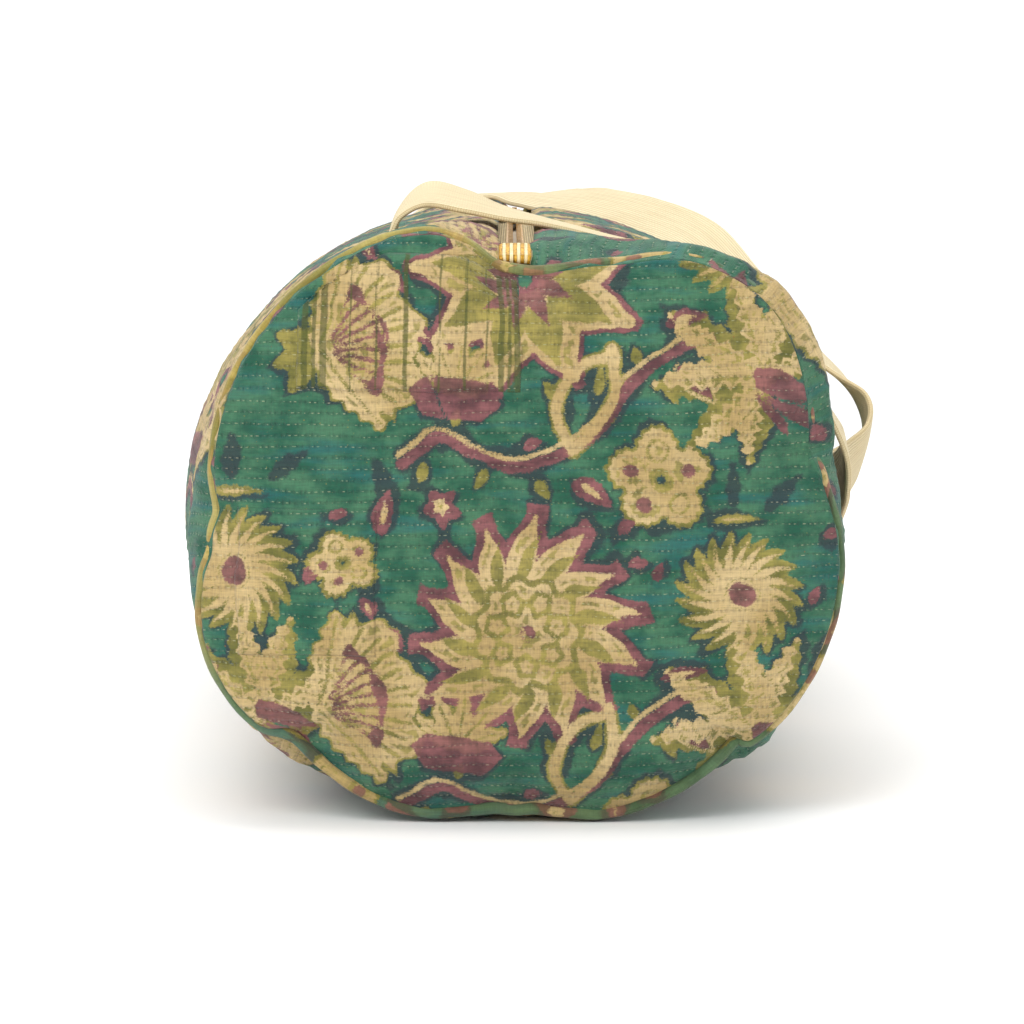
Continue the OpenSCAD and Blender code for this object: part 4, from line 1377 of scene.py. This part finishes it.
def make_zip():
    """The zip's tapes and end tabs, and brass for the CAD's teeth, stops, slider and pull."""
    for side, inner in (("left", 1), ("right", 0)):
        low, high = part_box(f"zip_tape_{side}")

        def lift(s, x, y, inner=inner):
            return 0.08 * waves(x, y, 91, 30, 2) + 0.35 * np.exp(-((s - inner) / 0.05) ** 2)

        tape = dress(strip_piece(f"zip_{side}_woven_tape", low, high, lift), TAPE)
        thicken(tape, THIN_CLOTH)
        finish_piece(tape, "root", f"zip_tape_{side}")
    for end in ("front", "rear"):
        low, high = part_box(f"zip_tab_{end}")

        def puff(s, x, y):
            into_seam = 4.2 * smooth(282, 297, np.abs(y))
            return -0.5 * (2 * s - 1) ** 4 + 0.12 * waves(x, y, 92, 9, 2) - into_seam

        tab = dress(strip_piece(f"zip_{end}_cloth_tab", low, high, puff, 12, 28), TAB)
        thicken(tab, high.z - low.z - 1.2 * MM)
        finish_piece(tab, "root", f"zip_tab_{end}")
    for node in ("zip_teeth_left", "zip_teeth_right", "zip_top_stops", "zip_bottom_stop"):
        dress(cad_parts[node], BRASS)
    for node in ("zip_slider", "zip_pull"):
        dress(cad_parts[node], BRASS_WORN)


# ---------------------------------------------------------------- the strap
SEWN_BOX = 21.0                # length of the stitched box and cross in each end, in millimetres
SEWN_HALF = 16.0               # half its width
SEWN_FROM_END = 2.5
NO_SEAM = 9.0


def from_thread(across, along, length):
    """Distance from the nearest line of the stitched box and cross in the strap's ends, in millimetres."""
    t = min(along, length - along) - SEWN_FROM_END
    if not -0.4 < t < SEWN_BOX + 0.4:
        return NO_SEAM
    ends = min(abs(t), abs(t - SEWN_BOX)) if abs(across) < SEWN_HALF + 0.3 else NO_SEAM
    sides = abs(abs(across) - SEWN_HALF)
    if not 0 < t < SEWN_BOX:
        return min(ends, sides)
    middle = SEWN_BOX / 2
    return min(ends, sides, abs(abs(across) - abs(t - middle) * SEWN_HALF / middle) * 0.55)


def make_strap():
    """The carry strap, bent where it leaves its two sewn ends."""
    points, cloth = strap_points()
    piece = grid_piece("carry_webbing", points, cloth, join_v=True, extra=cap_ends)
    length = cloth[-1, 0, 1] / MM
    layer = piece.data.uv_layers["cloth"].data
    place = np.zeros(len(layer) * 2)
    layer.foreach_get("uv", place)
    corner = np.zeros(len(piece.data.loops), int)
    piece.data.loops.foreach_get("vertex_index", corner)
    seam = np.full(len(piece.data.vertices), NO_SEAM)
    for (across, along), number in zip(place.reshape(-1, 2) / MM, corner):
        seam[number] = from_thread(across, along, length)
    piece.data.attributes.new("thread", "FLOAT", "POINT").data.foreach_set("value", seam)
    dress(piece, WEBBING)
    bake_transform(piece)
    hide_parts("carry_strap", "strap_tail_front", "strap_tail_rear")


# ---------------------------------------------------------------- the insert
CASE_INSET = 10 * MM           # how far each layer's outer face lies inside the cover's
WRAP_INSET = 14.5 * MM
FILL_INSET = 26 * MM
CASE_HALF = 289 * MM           # half the length of each layer
WRAP_HALF = 288 * MM
FILL_HALF = 286 * MM
CASE_THICKNESS = 1.1 * MM
WRAP_THICKNESS = 8 * MM
INSERT_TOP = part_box("zip_slider")[0].z - 1.0 * MM


def inner_tube(inset, half_len, bumpy, seed):
    """A layer of the insert: the roll's own shape, smaller by inset, as an open tube."""
    nu, nv = 193, 129
    around, length = np.linspace(-180, 180, nu), np.linspace(-half_len, half_len, nv)
    degrees, along = np.meshgrid(around, length, indexing="ij")
    points = roll_point(degrees, along)
    steps = np.linspace(1, ALONG - 1, nv)
    points += between(tube_moved, (around % 360) * RING / 360, steps, wrap_u=True)
    points[-1] = points[0]
    centre = np.stack([0 * along, along, np.full_like(along, AXIS_Z)], -1)
    reach = np.linalg.norm(points - centre, axis=-1, keepdims=True)
    a = np.radians(degrees)
    swell = bumpy * waves(130 * np.cos(a), 130 * np.sin(a) + along / MM, seed, 60, 2)
    points = centre + (points - centre) * (1 - (inset - swell * MM)[..., None] / reach)
    points = press_under_strap(points, inset - 3 * MM)
    points[..., 2] = np.minimum(points[..., 2], INSERT_TOP - (inset - CASE_INSET))
    points[-1] = points[0]
    cloth = np.stack([a * MEAN_RADIUS * MM, along], -1)
    return points, cloth


def inner_disc(points, side, bulge):
    """The round end that closes a layer of the insert."""
    n = (points.shape[0] - 1) // 4
    share, degrees = disc_angles(n)
    rim = points[:, 0 if side < 0 else -1]
    place = (degrees + 180) / 360 * (points.shape[0] - 1)
    base = np.clip(np.floor(place).astype(int), 0, points.shape[0] - 2)
    t = (place - base)[..., None]
    edge = rim[base] * (1 - t) + rim[base + 1] * t
    centre = rim[:-1].mean(axis=0)
    disc = centre + (edge - centre) * share[..., None]
    disc[..., 1] += side * (bulge * (1 - share ** 2.2) + 0.3 * MM)
    return disc, (disc - centre)[..., [0, 2]]


def make_insert():
    """The ticking case with its two ends, the batting round the filling, and the filling."""
    case, cloth = inner_tube(CASE_INSET, CASE_HALF, 0.5, 101)
    piece = dress(grid_piece("insert_ticking_case", case, cloth, join_u=True), TICKING)
    thicken(piece, CASE_THICKNESS)
    finish_piece(piece, "root", "insert_case")
    for side, end in ((-1, "front"), (1, "rear")):
        disc, flat = inner_disc(case, side, 9 * MM)
        piece = dress(grid_piece(f"insert_ticking_{end}", disc, flat, flip=side > 0), TICKING)
        thicken(piece, CASE_THICKNESS)
        finish_piece(piece, "root", f"insert_end_{end}")
    wrap, cloth = inner_tube(WRAP_INSET, WRAP_HALF, 0.8, 102)
    piece = dress(grid_piece("insert_batting_layer", wrap, cloth, join_u=True), BATTING)
    thicken(piece, WRAP_THICKNESS)
    finish_piece(piece, "root", "insert_wrap")
    core, cloth = inner_tube(FILL_INSET, FILL_HALF, 1.6, 103)
    piece = dress(grid_piece("insert_loose_fill", core, cloth, join_u=True, extra=cap_ends), BATTING)
    finish_piece(piece, "root", "insert_fill")


front_panel = make_cover()
make_piping()
make_patches(front_panel)
make_zip()
make_strap()
make_insert()


# ---------------------------------------------------------------- floor, light and camera
def make_floor():
    """A white sweep: flat under the roll, rising behind it in one curve."""
    s, t = np.meshgrid(np.linspace(-4, 4, 9), np.linspace(0, 1, 49), indexing="ij")
    reach = 6.0 * t - 2.5
    rise = np.maximum(reach - 2.0, 0)
    curve = np.minimum(rise / 1.0, math.pi / 2)
    y = np.where(rise > 0, 2.0 + np.sin(curve) * 1.0, reach)
    z = np.where(rise > 0, (1 - np.cos(curve)) * 1.0, 0.0)
    floor = grid_piece("floor", np.stack([s, y, z - 0.2 * MM], -1))
    made, g, shader = material("white floor", 0.9)
    place = g.put("ShaderNodeTexCoord").outputs["Object"]
    white = g.mix(g.noise(place, 3.0, 2), shade(250, 250, 250), shade(253, 253, 253))
    g.feed(shader.inputs["Base Color"], white)
    shader.inputs["Specular IOR Level"].default_value = 0.1
    dress(floor, made)


def add_light(name, place, target, size, watts):
    """A soft square light at a place, turned to a target."""
    lamp = bpy.data.lights.new(name, "AREA")
    lamp.energy = watts
    lamp.size = size
    made = bpy.data.objects.new(name, lamp)
    made.location = place
    made.rotation_euler = (Vector(target) - Vector(place)).to_track_quat("-Z", "Y").to_euler()
    bpy.context.scene.collection.objects.link(made)


def make_light():
    """An even white surround and three soft lights."""
    world = bpy.data.worlds.new("studio")
    world.use_nodes = True
    back = world.node_tree.nodes["Background"]
    back.inputs[0].default_value = (1, 1, 1, 1)
    back.inputs[1].default_value = 0.70
    bpy.context.scene.world = world
    add_light("large_soft_light", (-1.0, -1.9, 1.7), (0, -0.2, 0.1), 1.5, 36)
    add_light("top_soft_light", (0.2, 0.5, 2.3), (0, 0, 0.1), 2.4, 44)
    add_light("side_fill", (1.9, -1.2, 0.8), (0, -0.1, 0.15), 1.4, 5)


LENS = 140.6                   # millimetres, on a sensor 36 mm wide
CAMERA_AWAY = 1.7
CAMERA_TILT = math.radians(5.6)


def make_camera():
    """Looks at the front end, a little from above."""
    lens_view = bpy.data.cameras.new("camera")
    lens_view.lens = LENS
    lens_view.sensor_width = 36
    lens_view.clip_end = 50
    tilt = CAMERA_TILT
    ahead = Vector((0, math.cos(tilt), -math.sin(tilt)))
    up = Vector((0, math.sin(tilt), math.cos(tilt)))
    aim = Vector((0, -0.300, 0.125)) + up * 8.1 * MM - Vector((1.3 * MM, 0, 0))
    camera = bpy.data.objects.new("camera", lens_view)
    camera.location = aim - ahead * CAMERA_AWAY
    camera.rotation_euler = ahead.to_track_quat("-Z", "Y").to_euler()
    bpy.context.scene.collection.objects.link(camera)
    bpy.context.scene.camera = camera


make_floor()
make_light()
make_camera()
bpy.context.scene.view_settings.view_transform = "Standard"
bpy.context.scene.view_settings.look = "None"
bpy.context.view_layer.update()
